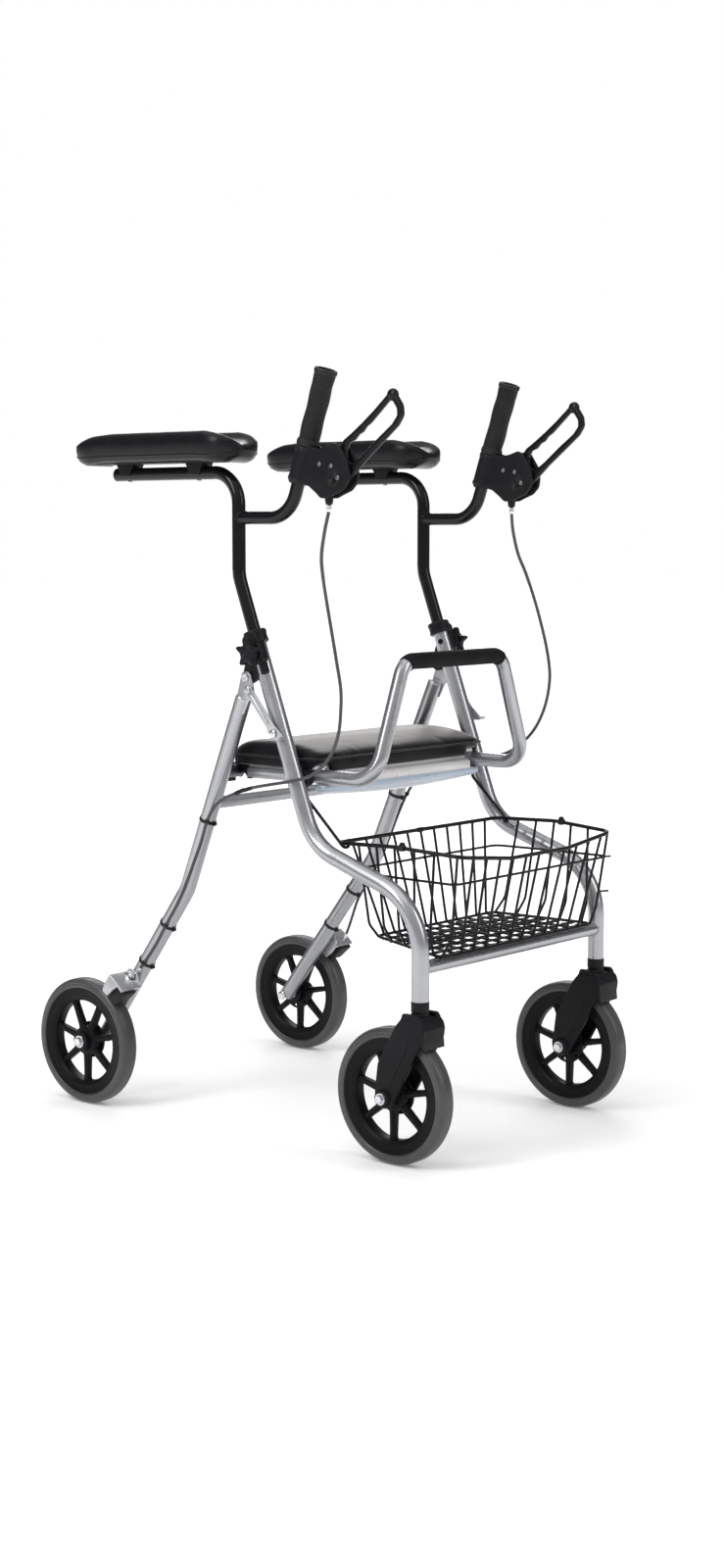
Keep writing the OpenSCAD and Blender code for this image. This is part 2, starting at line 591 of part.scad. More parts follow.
// ---- brake cables ----
cable_d = 5;
function mir(p) = [for (q = p) [q[0], -q[1], q[2]]];
function catmull(a, b, c, d, t) = 0.5 * ((2 * b) + (c - a) * t + (2 * a - 5 * b + 4 * c - d) * t * t + (3 * b - a - 3 * c + d) * t * t * t);
function smooth(p, n) = [for (i = [0 : len(p) - 2], j = [0 : n - 1])
  catmull(p[max(i - 1, 0)], p[i], p[i + 1], p[min(i + 2, len(p) - 1)], j / n), p[len(p) - 1]];
function dir(p, i) = unit(p[min(i + 1, len(p) - 1)] - p[max(i - 1, 0)]);
module cable(pts, n) {
  p = smooth(pts, n);
  k = 8;
  ring = [for (i = [0 : len(p) - 1]) let (u = dir(p, i), a = unit(cross(u, [0.99, 0.1, 0.05])), b = cross(u, a))
    for (j = [0 : k - 1]) p[i] + (a * cos(j * 45) + b * sin(j * 45)) * cable_d / 2];
  m = len(p);
  polyhedron(points = ring, faces = concat(
    [[for (j = [0 : k - 1]) j]],
    [for (i = [0 : m - 2], j = [0 : k - 1]) [i * k + j, (i + 1) * k + j, (i + 1) * k + (j + 1) % k, i * k + (j + 1) % k]],
    [[for (j = [0 : k - 1]) (m - 1) * k + k - 1 - j]]));
}
cable_a = [[178.5, 219, 943], [178, 220.3, 930], [176.4, 226.5, 905], [179, 236.5, 870], [188.5, 244.2, 840], [201.4, 249.8, 800], [213.1, 253, 760],
  [223.3, 254.8, 720], [230.2, 254, 682], [228.5, 252.2, 650], [221.6, 248.6, 620], [208, 245.5, 593], [188, 242.5, 571], [160, 241, 553],
  [127.8, 240.5, 543.6], [85, 240.2, 535.5], [45, 240, 527.5], [20, 240, 520.3]];
cable_n = [[19.2, 240, 519.9], [-8, 240.6, 509], [-30, 241.2, 495], [-49, 239.5, 470], [-65.5, 236.6, 435], [-81, 237, 402], [-97.8, 237.4, 367.5], [-118, 236.6, 334],
  [-141.5, 235.8, 301.8], [-165, 235, 268], [-188, 235.2, 239.5], [-206, 236, 220]];
cable_f = [[19.2, 240, 519.9], [-8, 240.6, 509], [-30, 241.2, 495], [-49, 239.5, 470], [-65.5, 236.6, 435], [-81, 237, 402], [-97.8, 237.4, 367.5], [-117, 236.6, 336],
  [-136, 234.5, 307], [-151, 232.5, 281], [-161, 232, 256], [-171, 232.5, 232], [-182, 235, 213]];
module brake_cable_upper_left() { color([0.2, 0.2, 0.21]) cable(cable_a, 3); }
module brake_cable_upper_right() { color([0.2, 0.2, 0.21]) cable(mir(cable_a), 3); }
module brake_cable_lower_left() { color([0.2, 0.2, 0.21]) cable(cable_f, 3); }
module brake_cable_lower_right() { color([0.2, 0.2, 0.21]) cable(mir(cable_n), 3); }

front_leg_left();
front_leg_right();
basket_bar();
leg_clamp_left();
leg_clamp_right();
caster_bushes();
seat_pivots();
basket_hangers();
frame_pins();
height_knob_left();
height_knob_right();
rear_leg_left();
rear_leg_right();
rear_cross_bar();
rear_leg_lugs();
seat_rest_pegs();
rear_axles();
cable_ties();
brake_arm_left();
brake_arm_right();
brake_shoe_left();
brake_shoe_right();
lock_hook_left();
lock_hook_right();
rear_rim_left();
rear_rim_right();
rear_tyre_left();
rear_tyre_right();
front_rim_left();
front_rim_right();
front_tyre_left();
front_tyre_right();
caster_fork_left();
caster_fork_right();
caster_stem_left();
caster_stem_right();
caster_axle_left();
caster_axle_right();
armrest_tube_left();
armrest_tube_right();
hand_grip_left();
hand_grip_right();
brake_housing_left();
brake_housing_right();
pad_base_left();
pad_base_right();
forearm_pad_left();
forearm_pad_right();
brake_lever_left();
brake_lever_right();
seat_frame();
seat_board();
seat_cushion();
loop_foam();
seat_saddles();
wire_basket();
brake_cable_upper_left();
brake_cable_upper_right();
brake_cable_lower_left();
brake_cable_lower_right();
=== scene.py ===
import bpy, bmesh, json, math
import numpy as np
from mathutils import Vector, Matrix, noise


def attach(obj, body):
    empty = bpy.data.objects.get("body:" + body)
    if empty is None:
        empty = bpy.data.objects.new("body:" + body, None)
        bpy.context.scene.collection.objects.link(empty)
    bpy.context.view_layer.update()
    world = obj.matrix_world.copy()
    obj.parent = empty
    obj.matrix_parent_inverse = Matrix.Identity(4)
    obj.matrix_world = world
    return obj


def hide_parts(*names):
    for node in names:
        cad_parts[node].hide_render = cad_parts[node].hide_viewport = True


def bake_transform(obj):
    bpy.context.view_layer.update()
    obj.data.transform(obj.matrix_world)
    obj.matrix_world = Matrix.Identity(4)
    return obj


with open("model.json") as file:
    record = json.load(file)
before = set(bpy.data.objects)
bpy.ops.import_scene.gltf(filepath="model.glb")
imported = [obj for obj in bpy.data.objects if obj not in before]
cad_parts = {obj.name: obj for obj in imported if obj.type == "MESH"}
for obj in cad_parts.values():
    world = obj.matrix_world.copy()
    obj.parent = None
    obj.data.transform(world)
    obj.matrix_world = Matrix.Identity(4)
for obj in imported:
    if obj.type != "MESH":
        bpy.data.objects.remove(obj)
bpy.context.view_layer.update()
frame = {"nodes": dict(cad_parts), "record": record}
NODES = frame["nodes"]
sc = bpy.context.scene

# ================================================================== camera
YAW, PITCH = math.radians(130.204), math.radians(6.252)
_d = Vector((math.cos(PITCH) * math.cos(YAW), math.cos(PITCH) * math.sin(YAW), -math.sin(PITCH)))
_r = _d.cross(Vector((0, 0, 1))).normalized()
_u = _r.cross(_d)
cam_data = bpy.data.cameras.new("camera")
cam_data.lens = 52.58
cam_data.sensor_width = 36
cam_data.sensor_fit = "AUTO"
cam_data.clip_start = 0.05
cam_data.clip_end = 80
cam = bpy.data.objects.new("camera", cam_data)
sc.collection.objects.link(cam)
_m = Matrix((_r, _u, -_d)).transposed().to_4x4()
_m.translation = Vector((2.3454, -2.7100, 0.9025))
cam.matrix_world = _m
sc.camera = cam

# ================================================================== light
sc.view_settings.view_transform = "Standard"
sc.view_settings.look = "None"
world = bpy.data.worlds.new("studio")
sc.world = world
world.use_nodes = True
wt = world.node_tree
wt.nodes.clear()
w_out = wt.nodes.new("ShaderNodeOutputWorld")
w_mix = wt.nodes.new("ShaderNodeMixShader")
w_path = wt.nodes.new("ShaderNodeLightPath")
w_seen = wt.nodes.new("ShaderNodeBackground")
w_seen.inputs["Color"].default_value = (1, 1, 1, 1)
w_seen.inputs["Strength"].default_value = 1.0
w_soft = wt.nodes.new("ShaderNodeBackground")
w_soft.inputs["Strength"].default_value = 0.72
w_tc = wt.nodes.new("ShaderNodeTexCoord")
w_sep = wt.nodes.new("ShaderNodeSeparateXYZ")
w_ramp = wt.nodes.new("ShaderNodeValToRGB")
w_ramp.color_ramp.elements[0].position = 0.0
w_ramp.color_ramp.elements[0].color = (0.30, 0.30, 0.31, 1)
w_ramp.color_ramp.elements[1].position = 0.8
w_ramp.color_ramp.elements[1].color = (1.25, 1.25, 1.25, 1)
wt.links.new(w_tc.outputs["Generated"], w_sep.inputs[0])
wt.links.new(w_sep.outputs["Z"], w_ramp.inputs["Fac"])
# dark flags to both sides of the line of sight, as in a studio, so that round tubes get dark edges
w_dot = wt.nodes.new("ShaderNodeVectorMath")
w_dot.operation = "DOT_PRODUCT"
w_dot.inputs[1].default_value = (-0.6455, 0.7638, 0.0)
wt.links.new(w_tc.outputs["Generated"], w_dot.inputs[0])
w_map = wt.nodes.new("ShaderNodeMath")
w_map.operation = "MULTIPLY_ADD"
w_map.inputs[1].default_value = 0.5
w_map.inputs[2].default_value = 0.5
wt.links.new(w_dot.outputs["Value"], w_map.inputs[0])
w_flag = wt.nodes.new("ShaderNodeValToRGB")
fe = w_flag.color_ramp.elements
fe[0].position, fe[0].color = 0.0, (1.0, 1.0, 1.0, 1)
fe[1].position, fe[1].color = 1.0, (1.0, 1.0, 1.0, 1)
for at, c in ((0.22, 0.85), (0.45, 0.38), (0.62, 0.24), (0.84, 0.4), (0.95, 0.95)):
    e = fe.new(at)
    e.color = (c, c, c, 1)
wt.links.new(w_map.outputs[0], w_flag.inputs["Fac"])
w_mul = wt.nodes.new("ShaderNodeMix")
w_mul.data_type = "RGBA"
w_mul.blend_type = "MULTIPLY"
w_mul.inputs[0].default_value = 1.0
wt.links.new(w_ramp.outputs["Color"], w_mul.inputs[6])
wt.links.new(w_flag.outputs["Color"], w_mul.inputs[7])
wt.links.new(w_mul.outputs[2], w_soft.inputs["Color"])
wt.links.new(w_path.outputs["Is Camera Ray"], w_mix.inputs["Fac"])
wt.links.new(w_soft.outputs[0], w_mix.inputs[1])
wt.links.new(w_seen.outputs[0], w_mix.inputs[2])
wt.links.new(w_mix.outputs[0], w_out.inputs["Surface"])


def area(name, at, look, size, size_y, power):
    data = bpy.data.lights.new(name, "AREA")
    data.shape = "RECTANGLE"
    data.size = size
    data.size_y = size_y
    data.energy = power
    o = bpy.data.objects.new(name, data)
    sc.collection.objects.link(o)
    o.location = at
    o.rotation_euler = (Vector(look) - Vector(at)).to_track_quat("-Z", "Y").to_euler()
    return o


area("key", (-0.6, -3.4, 2.7), (0, 0, 0.55), 1.1, 2.2, 62)
area("side", (3.4, 0.9, 2.3), (0, 0, 0.5), 0.9, 2.4, 34)
area("back", (-2.6, 3.0, 2.6), (0, 0, 0.6), 2.4, 1.4, 40)
sun_data = bpy.data.lights.new("sky", "SUN")
sun_data.energy = 1.15
sun_data.angle = math.radians(70)
sun = bpy.data.objects.new("sky", sun_data)
sc.collection.objects.link(sun)
sun.location = (0, 0, 4)
sun.rotation_euler = (math.radians(8), math.radians(-6), 0)


# ================================================================== materials
def material(name, base, rough, metal=0.0, coat=0.0, coat_rough=0.1, grain=None, scale=300.0, vary=0.0,
             vary_scale=8.0, bevel=0.0, spec=0.5, sheen=0.0, rough_vary=0.0, wear=None, wear_edge=0.8):
    """Principled material: fine bump, slow colour and gloss change, softened edges, light wear on edges."""
    mt = bpy.data.materials.new(name)
    mt.use_nodes = True
    nt = mt.node_tree
    b = nt.nodes["Principled BSDF"]
    b.inputs["Base Color"].default_value = (*base, 1)
    b.inputs["Roughness"].default_value = rough
    b.inputs["Metallic"].default_value = metal
    b.inputs["Coat Weight"].default_value = coat
    b.inputs["Coat Roughness"].default_value = coat_rough
    b.inputs["Specular IOR Level"].default_value = spec
    b.inputs["Sheen Weight"].default_value = sheen
    tc = nt.nodes.new("ShaderNodeTexCoord")
    colour = None
    if vary:
        n = nt.nodes.new("ShaderNodeTexNoise")
        n.inputs["Scale"].default_value = vary_scale
        n.inputs["Detail"].default_value = 5
        nt.links.new(tc.outputs["Object"], n.inputs["Vector"])
        ramp = nt.nodes.new("ShaderNodeValToRGB")
        ramp.color_ramp.elements[0].color = (*[max(0.0, c * (1 - vary)) for c in base], 1)
        ramp.color_ramp.elements[0].position = 0.3
        ramp.color_ramp.elements[1].color = (*[min(1.0, c * (1 + vary)) for c in base], 1)
        ramp.color_ramp.elements[1].position = 0.7
        nt.links.new(n.outputs["Fac"], ramp.inputs["Fac"])
        colour = ramp.outputs["Color"]
    if wear:
        geo = nt.nodes.new("ShaderNodeNewGeometry")
        er = nt.nodes.new("ShaderNodeValToRGB")
        er.color_ramp.elements[0].position = 0.52
        er.color_ramp.elements[0].color = (0, 0, 0, 1)
        er.color_ramp.elements[1].position = 0.62
        er.color_ramp.elements[1].color = (wear_edge, wear_edge, wear_edge, 1)
        nt.links.new(geo.outputs["Pointiness"], er.inputs["Fac"])
        mx = nt.nodes.new("ShaderNodeMix")
        mx.data_type = "RGBA"
        mx.inputs["A"].default_value = (*base, 1)
        mx.inputs["B"].default_value = (*wear, 1)
        nt.links.new(er.outputs["Color"], mx.inputs["Factor"])
        if colour:
            nt.links.new(colour, mx.inputs["A"])
        colour = mx.outputs["Result"]
    if colour:
        nt.links.new(colour, b.inputs["Base Color"])
    if rough_vary:
        n2 = nt.nodes.new("ShaderNodeTexNoise")
        n2.inputs["Scale"].default_value = 34
        n2.inputs["Detail"].default_value = 4
        nt.links.new(tc.outputs["Object"], n2.inputs["Vector"])
        mr = nt.nodes.new("ShaderNodeMapRange")
        mr.inputs["From Min"].default_value = 0.3
        mr.inputs["From Max"].default_value = 0.7
        mr.inputs["To Min"].default_value = max(0.02, rough - rough_vary)
        mr.inputs["To Max"].default_value = min(1.0, rough + rough_vary)
        nt.links.new(n2.outputs["Fac"], mr.inputs["Value"])
        nt.links.new(mr.outputs["Result"], b.inputs["Roughness"])
    normal = None
    if bevel:
        bv = nt.nodes.new("ShaderNodeBevel")
        bv.samples = 4
        bv.inputs["Radius"].default_value = bevel / 1000
        normal = bv
    if grain:
        kind, strength, dist = grain
        if kind == "noise":
            g = nt.nodes.new("ShaderNodeTexNoise")
            g.inputs["Scale"].default_value = scale
            g.inputs["Detail"].default_value = 3
            out = g.outputs["Fac"]
        else:
            g = nt.nodes.new("ShaderNodeTexVoronoi")
            g.inputs["Scale"].default_value = scale
            g.feature = "SMOOTH_F1" if kind == "pebble" else "DISTANCE_TO_EDGE"
            out = g.outputs["Distance"]
        nt.links.new(tc.outputs["Object"], g.inputs["Vector"])
        bump = nt.nodes.new("ShaderNodeBump")
        bump.inputs["Strength"].default_value = strength
        bump.inputs["Distance"].default_value = dist / 1000
        nt.links.new(out, bump.inputs["Height"])
        if normal:
            nt.links.new(normal.outputs["Normal"], bump.inputs["Normal"])
        normal = bump
    if normal:
        nt.links.new(normal.outputs["Normal"], b.inputs["Normal"])
    return mt


M = {
    "silver_tube": material("silver_tube", (0.36, 0.365, 0.38), 0.29, metal=0.85, coat=0.15, coat_rough=0.08,
                            grain=("noise", 0.05, 0.02), scale=1800, vary=0.07, vary_scale=5, rough_vary=0.05),
    "steel_plate": material("steel_plate", (0.44, 0.445, 0.455), 0.34, metal=0.8, grain=("noise", 0.2, 0.03),
                            scale=900, vary=0.1, vary_scale=25, bevel=0.5, rough_vary=0.06, wear=(0.62, 0.62, 0.64)),
    "zinc_bolts": material("zinc_bolts", (0.66, 0.67, 0.69), 0.24, metal=1.0, grain=("noise", 0.15, 0.02),
                           scale=1500, vary=0.08, vary_scale=60, bevel=0.3, rough_vary=0.06),
    "black_plastic": material("black_plastic", (0.0075, 0.0075, 0.009), 0.44, grain=("pebble", 0.25, 0.03), spec=0.13,
                              scale=1400, vary=0.2, vary_scale=12, bevel=0.6, rough_vary=0.06, wear=(0.028, 0.028, 0.03)),
    "dark_steel": material("dark_steel", (0.17, 0.17, 0.175), 0.42, metal=0.6, grain=("noise", 0.2, 0.03),
                           scale=900, vary=0.15, bevel=0.5, rough_vary=0.05),
    "wheel_plastic": material("wheel_plastic", (0.0055, 0.0055, 0.0065), 0.42, grain=("pebble", 0.2, 0.03), spec=0.11,
                              scale=1400, vary=0.2, vary_scale=14, rough_vary=0.05, wear=(0.02, 0.02, 0.022)),
    "tyre_grey": material("tyre_grey", (0.050, 0.050, 0.053), 0.36, grain=("noise", 0.35, 0.08), scale=650, spec=0.5,
                          vary=0.16, vary_scale=20, rough_vary=0.08),
    "black_rubber": material("black_rubber", (0.012, 0.012, 0.013), 0.6, grain=("noise", 0.4, 0.08), scale=900, spec=0.24,
                             vary=0.22, vary_scale=30, rough_vary=0.06),
    "black_tube": material("black_tube", (0.005, 0.005, 0.0065), 0.25, coat=0.28, coat_rough=0.04, spec=0.12,
                           grain=("noise", 0.12, 0.02), scale=1800, vary=0.15, vary_scale=10, rough_vary=0.05),
    "pad_skin": material("pad_skin", (0.006, 0.006, 0.0075), 0.32, grain=("pebble", 0.3, 0.05), scale=700, spec=0.2,
                         vary=0.2, vary_scale=10, rough_vary=0.07, sheen=0.0),
    "lever_black": material("lever_black", (0.006, 0.006, 0.0075), 0.3, coat=0.08, coat_rough=0.15, spec=0.14,
                            grain=("noise", 0.12, 0.02), scale=1500, vary=0.15, vary_scale=20, rough_vary=0.05,
                            wear=(0.022, 0.022, 0.024)),
    "seat_pan_grey": material("seat_pan_grey", (0.66, 0.675, 0.70), 0.3, metal=0.12, coat=0.25, coat_rough=0.1,
                              grain=("noise", 0.2, 0.04), scale=500, vary=0.05, vary_scale=6, bevel=0.8, rough_vary=0.04),
    "seat_skin": material("seat_skin", (0.006, 0.006, 0.0075), 0.46, grain=("pebble", 0.35, 0.06), scale=560, spec=0.1,
                          vary=0.1, vary_scale=7, rough_vary=0.03, sheen=0.0),
    "foam": material("foam", (0.007, 0.007, 0.008), 0.72, grain=("noise", 0.6, 0.12), scale=1200, vary=0.25, spec=0.12,
                     vary_scale=40, rough_vary=0.05),
    "black_wire": material("black_wire", (0.0065, 0.0065, 0.008), 0.34, coat=0.06, coat_rough=0.2, spec=0.14,
                           grain=("noise", 0.15, 0.02), scale=1500, vary=0.2, vary_scale=30, rough_vary=0.05),
    "cable_sheath": material("cable_sheath", (0.05, 0.05, 0.054), 0.42, grain=("noise", 0.15, 0.02), scale=1500,
                             vary=0.15, vary_scale=30, rough_vary=0.05, spec=0.4),
}


def last_colour(mt):
    """The principled shader and what feeds its base colour."""
    nt = mt.node_tree
    b = nt.nodes["Principled BSDF"]
    src = b.inputs["Base Color"].links[0].from_socket if b.inputs["Base Color"].links else None
    return nt, b, src


# painted sheen: the seat's base colour turns from black to pale warm grey where the surface is seen at a very flat
# angle, standing in for the bright backdrop reflected there
nt, b, src = last_colour(M["seat_skin"])
seat_sheen_facing = nt.nodes.new("ShaderNodeLayerWeight")
seat_sheen_facing.inputs["Blend"].default_value = 0.5
seat_sheen_power = nt.nodes.new("ShaderNodeMath")
seat_sheen_power.operation = "POWER"
seat_sheen_power.inputs[1].default_value = 5.0
nt.links.new(seat_sheen_facing.outputs["Facing"], seat_sheen_power.inputs[0])
mx = nt.nodes.new("ShaderNodeMix")
mx.data_type = "RGBA"
mx.inputs[6].default_value = (0.006, 0.006, 0.0075, 1)
mx.inputs[7].default_value = (0.68, 0.65, 0.62, 1)
if src is not None:
    nt.links.new(src, mx.inputs[6])
nt.links.new(seat_sheen_power.outputs[0], mx.inputs[0])
nt.links.new(mx.outputs[2], b.inputs["Base Color"])
# painted reflection bands on the pan's front edge: its grey is multiplied by a ramp over height, pale at the foot, a
# blue-grey band below the groove and a warm pale band above it
nt, b, src = last_colour(M["seat_pan_grey"])
tc = nt.nodes.new("ShaderNodeTexCoord")
sp = nt.nodes.new("ShaderNodeSeparateXYZ")
nt.links.new(tc.outputs["Object"], sp.inputs[0])
mr = nt.nodes.new("ShaderNodeMapRange")
mr.inputs["From Min"].default_value = 0.512
mr.inputs["From Max"].default_value = 0.547
nt.links.new(sp.outputs["Z"], mr.inputs["Value"])
pan_reflection_ramp = nt.nodes.new("ShaderNodeValToRGB")
pan_reflection_stops = pan_reflection_ramp.color_ramp.elements
pan_reflection_stops[0].position, pan_reflection_stops[0].color = 0.0, (0.95, 0.96, 0.97, 1)
pan_reflection_stops[1].position, pan_reflection_stops[1].color = 1.0, (1.0, 0.99, 0.97, 1)
# stops of the painted reflection bands: pale, blue-grey, then warm pale
for at, c in ((0.26, (0.86, 0.9, 0.95)), (0.36, (0.58, 0.67, 0.78)), (0.55, (0.62, 0.70, 0.80)), (0.64, (0.92, 0.87, 0.82)), (0.9, (0.98, 0.94, 0.9))):
    e = pan_reflection_stops.new(at)
    e.color = (*c, 1)
nt.links.new(mr.outputs["Result"], pan_reflection_ramp.inputs["Fac"])
mx = nt.nodes.new("ShaderNodeMix")
mx.data_type = "RGBA"
mx.blend_type = "MULTIPLY"
mx.inputs[0].default_value = 1.0
mx.inputs[6].default_value = (0.66, 0.675, 0.70, 1)
if src is not None:
    nt.links.new(src, mx.inputs[6])
nt.links.new(pan_reflection_ramp.outputs["Color"], mx.inputs[7])
nt.links.new(mx.outputs[2], b.inputs["Base Color"])

for s in frame["record"]["subparts"]:
    o = NODES.get(s.get("node"))
    if o is not None and s.get("material_slot") in M:
        o.data.materials.clear()
        o.data.materials.append(M[s["material_slot"]])


# ================================================================== mesh tools (millimetres)
def unit(v):
    v = np.asarray(v, float)
    return v / np.linalg.norm(v)


def bend(p, r, n=14):
    """The centre line through p, with an arc of radius r at each inner point."""
    p = [np.array(q, float) for q in p]
    out = [p[0]]
    for i in range(1, len(p) - 1):
        uu, ww = unit(p[i] - p[i - 1]), unit(p[i + 1] - p[i])
        th = math.acos(max(-1.0, min(1.0, float(uu @ ww))))
        if th < 1e-4:
            out.append(p[i])
            continue
        k = unit(np.cross(uu, ww))
        m = np.cross(k, uu)
        rr = r[i - 1]
        o = p[i] - uu * rr * math.tan(th / 2) + rr * m
        out += [o - m * rr * math.cos(th * j / n) + uu * rr * math.sin(th * j / n) for j in range(n + 1)]
    out.append(p[-1])
    return out


def catmull(p, n):
    """A smooth line through the points p, with n steps between each two."""
    p = [np.array(q, float) for q in p]
    out = []
    for i in range(len(p) - 1):
        a, b, c, e = p[max(i - 1, 0)], p[i], p[i + 1], p[min(i + 2, len(p) - 1)]
        for j in range(n):
            t = j / n
            out.append(0.5 * ((2 * b) + (c - a) * t + (2 * a - 5 * b + 4 * c - e) * t * t + (3 * b - a - 3 * c + e) * t ** 3))
    out.append(p[-1])
    return out


def rnd(poly, r, n=5):
    """A polygon with its corners rounded; r is one radius, or one for each corner."""
    out = []
    m = len(poly)
    for i in range(m):
        a, b, c = (np.array(poly[(i + k) % m], float) for k in (-1, 0, 1))
        rr = r[i] if hasattr(r, "__len__") else r
        if rr <= 0:
            out.append(tuple(b))
            continue
        u1, u2 = a - b, c - b
        l1, l2 = np.linalg.norm(u1), np.linalg.norm(u2)
        if l1 < 1e-6 or l2 < 1e-6:
            out.append(tuple(b))
            continue
        cosang = float(np.clip((u1 @ u2) / (l1 * l2), -1, 1))
        half = math.acos(cosang) / 2
        cut = min(rr / max(math.tan(half), 1e-3), 0.48 * l1, 0.48 * l2)
        if cut < 0.05:
            out.append(tuple(b))
            continue
        s, e = b + u1 / l1 * cut, b + u2 / l2 * cut
        for j in range(n + 1):
            t = j / n
            out.append(tuple((1 - t) ** 2 * s + 2 * t * (1 - t) * b + t * t * e))
    return out


def circle(x, z, r, n=32):
    return [(x + r * math.cos(2 * math.pi * i / n), z + r * math.sin(2 * math.pi * i / n)) for i in range(n)]


class Geo:
    """Vertices in millimetres and faces, gathered from several shapes."""

    def __init__(self):
        self.v, self.f = [], []

    def add(self, v, f, tf=None):
        o = len(self.v)
        self.v.extend(tuple(tf(q)) if tf else tuple(q) for q in v)
        self.f.extend(tuple(i + o for i in q) for q in f)
        return self

    def sweep(self, pts, r, n=20, cap=0.6, tf=None):
        """A round rod along pts. r is a radius, or one for each point; cap is the rounding of its ends."""
        p = [np.array(q, float) for q in pts]
        keep = [0] + [i for i in range(1, len(p)) if np.linalg.norm(p[i] - p[i - 1]) > 1e-6]
        rad = [float(r)] * len(p) if not hasattr(r, "__len__") else [float(q) for q in r]
        p, rad = [p[i] for i in keep], [rad[i] for i in keep]
        m = len(p)
        t = [unit(p[min(i + 1, m - 1)] - p[max(i - 1, 0)]) for i in range(m)]
        ref = np.array([0, 0, 1.0]) if abs(t[0][2]) < 0.9 else np.array([1.0, 0, 0])
        x = unit(np.cross(t[0], ref))
        rings = []
        for i in range(m):
            x = unit(x - t[i] * float(x @ t[i]))
            rings.append((p[i], t[i], x, rad[i]))
        full = []
        steps = 3
        c0, c1 = min(cap, rad[0]), min(cap, rad[-1])
        for k in range(steps, 0, -1):
            a = math.pi / 2 * k / steps
            q, tt, xx, rr = rings[0]
            full.append((q + tt * (c0 - c0 * math.sin(a)) * 1.0, tt, xx, max(rr - c0 + c0 * math.cos(a), 1e-4)))
        q, tt, xx, rr = rings[0]
        full.append((q + tt * c0, tt, xx, rr))
        full += rings[1:-1]
        q, tt, xx, rr = rings[-1]
        full.append((q - tt * c1, tt, xx, rr))
        for k in range(1, steps + 1):
            a = math.pi / 2 * k / steps
            full.append((q - tt * (c1 - c1 * math.sin(a)), tt, xx, max(rr - c1 + c1 * math.cos(a), 1e-4)))
        v, f = [], []
        for q, tt, xx, rr in full:
            yy = np.cross(tt, xx)
            v += [q + (xx * math.cos(2 * math.pi * j / n) + yy * math.sin(2 * math.pi * j / n)) * rr for j in range(n)]
        k = len(full)
        for i in range(k - 1):
            for j in range(n):
                f.append((i * n + j, i * n + (j + 1) % n, (i + 1) * n + (j + 1) % n, (i + 1) * n + j))
        f.append(tuple(range(n)))
        f.append(tuple((k - 1) * n + j for j in range(n)))
        return self.add(v, f, tf)

    def lathe(self, prof, at, axis=(0, 1, 0), n=48, closed=False, arc=None, tf=None, wobble=None):
        """prof is a list of (radius, height along axis), turned about axis through at."""
        ax = unit(axis)
        ref = np.array([0, 0, 1.0]) if abs(ax[2]) < 0.9 else np.array([1.0, 0, 0])
        x = unit(np.cross(ax, ref))
        y = np.cross(ax, x)
        at = np.array(at, float)
        v, f = [], []
        for r, h in prof:
            for j in range(n):
                a = 2 * math.pi * j / n
                rr = r * (wobble(a, h) if wobble else 1.0)
                v.append(at + ax * h + (x * math.cos(a) + y * math.sin(a)) * max(rr, 1e-4))
        k = len(prof)
        for i in range(k if closed else k - 1):
            i2 = (i + 1) % k
            for j in range(n):
                f.append((i * n + j, i * n + (j + 1) % n, i2 * n + (j + 1) % n, i2 * n + j))
        if not closed:
            f.append(tuple(range(n)))
            f.append(tuple((k - 1) * n + j for j in range(n)))
        return self.add(v, f, tf)

    def slab(self, outline, y0, y1, bevel=1.0, holes=(), seg=3, tf=None):
        """An outline drawn in X and Z, standing from y0 to y1, with rounded edges."""
        cu = bpy.data.curves.new("tmp", "CURVE")
        cu.dimensions = "2D"
        cu.fill_mode = "BOTH"
        for poly in [outline, *holes]:
            sp = cu.splines.new("POLY")
            sp.points.add(len(poly) - 1)
            for a, b in zip(sp.points, poly):
                a.co = (b[0], b[1], 0, 1)
            sp.use_cyclic_u = True
        half = abs(y1 - y0) / 2
        bevel = min(bevel, half)
        cu.extrude = max(half - bevel, 0.0)
        cu.bevel_depth = bevel
        cu.bevel_resolution = seg
        cu.offset = -bevel
        ob = bpy.data.objects.new("tmp", cu)
        sc.collection.objects.link(ob)
        dg = bpy.context.evaluated_depsgraph_get()
        me = bpy.data.meshes.new_from_object(ob.evaluated_get(dg))
        mid = (y0 + y1) / 2
        v = [(q.co.x, mid - q.co.z, q.co.y) for q in me.vertices]
        f = [tuple(q.vertices) for q in me.polygons]
        bpy.data.objects.remove(ob)
        bpy.data.curves.remove(cu)
        bpy.data.meshes.remove(me)
        return self.add(v, f, tf)


def make(name, g, slot, body, mirror=False, angle=38, replaces=(), ride=True, weld=1e-6):
    v = np.array(g.v, float) * 0.001
    if mirror:
        v[:, 1] *= -1
    me = bpy.data.meshes.new(name)
    me.from_pydata(v.tolist(), [], g.f)
    bm = bmesh.new()
    bm.from_mesh(me)
    bmesh.ops.remove_doubles(bm, verts=bm.verts, dist=weld)
    bmesh.ops.recalc_face_normals(bm, faces=bm.faces)
    bm.to_mesh(me)
    bm.free()
    me.shade_smooth()
    me.set_sharp_from_angle(angle=math.radians(angle))
    o = bpy.data.objects.new(name, me)
    sc.collection.objects.link(o)
    me.materials.append(M[slot])
    if ride:
        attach(o, body)
    if replaces:
        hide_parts(*replaces)
    return o


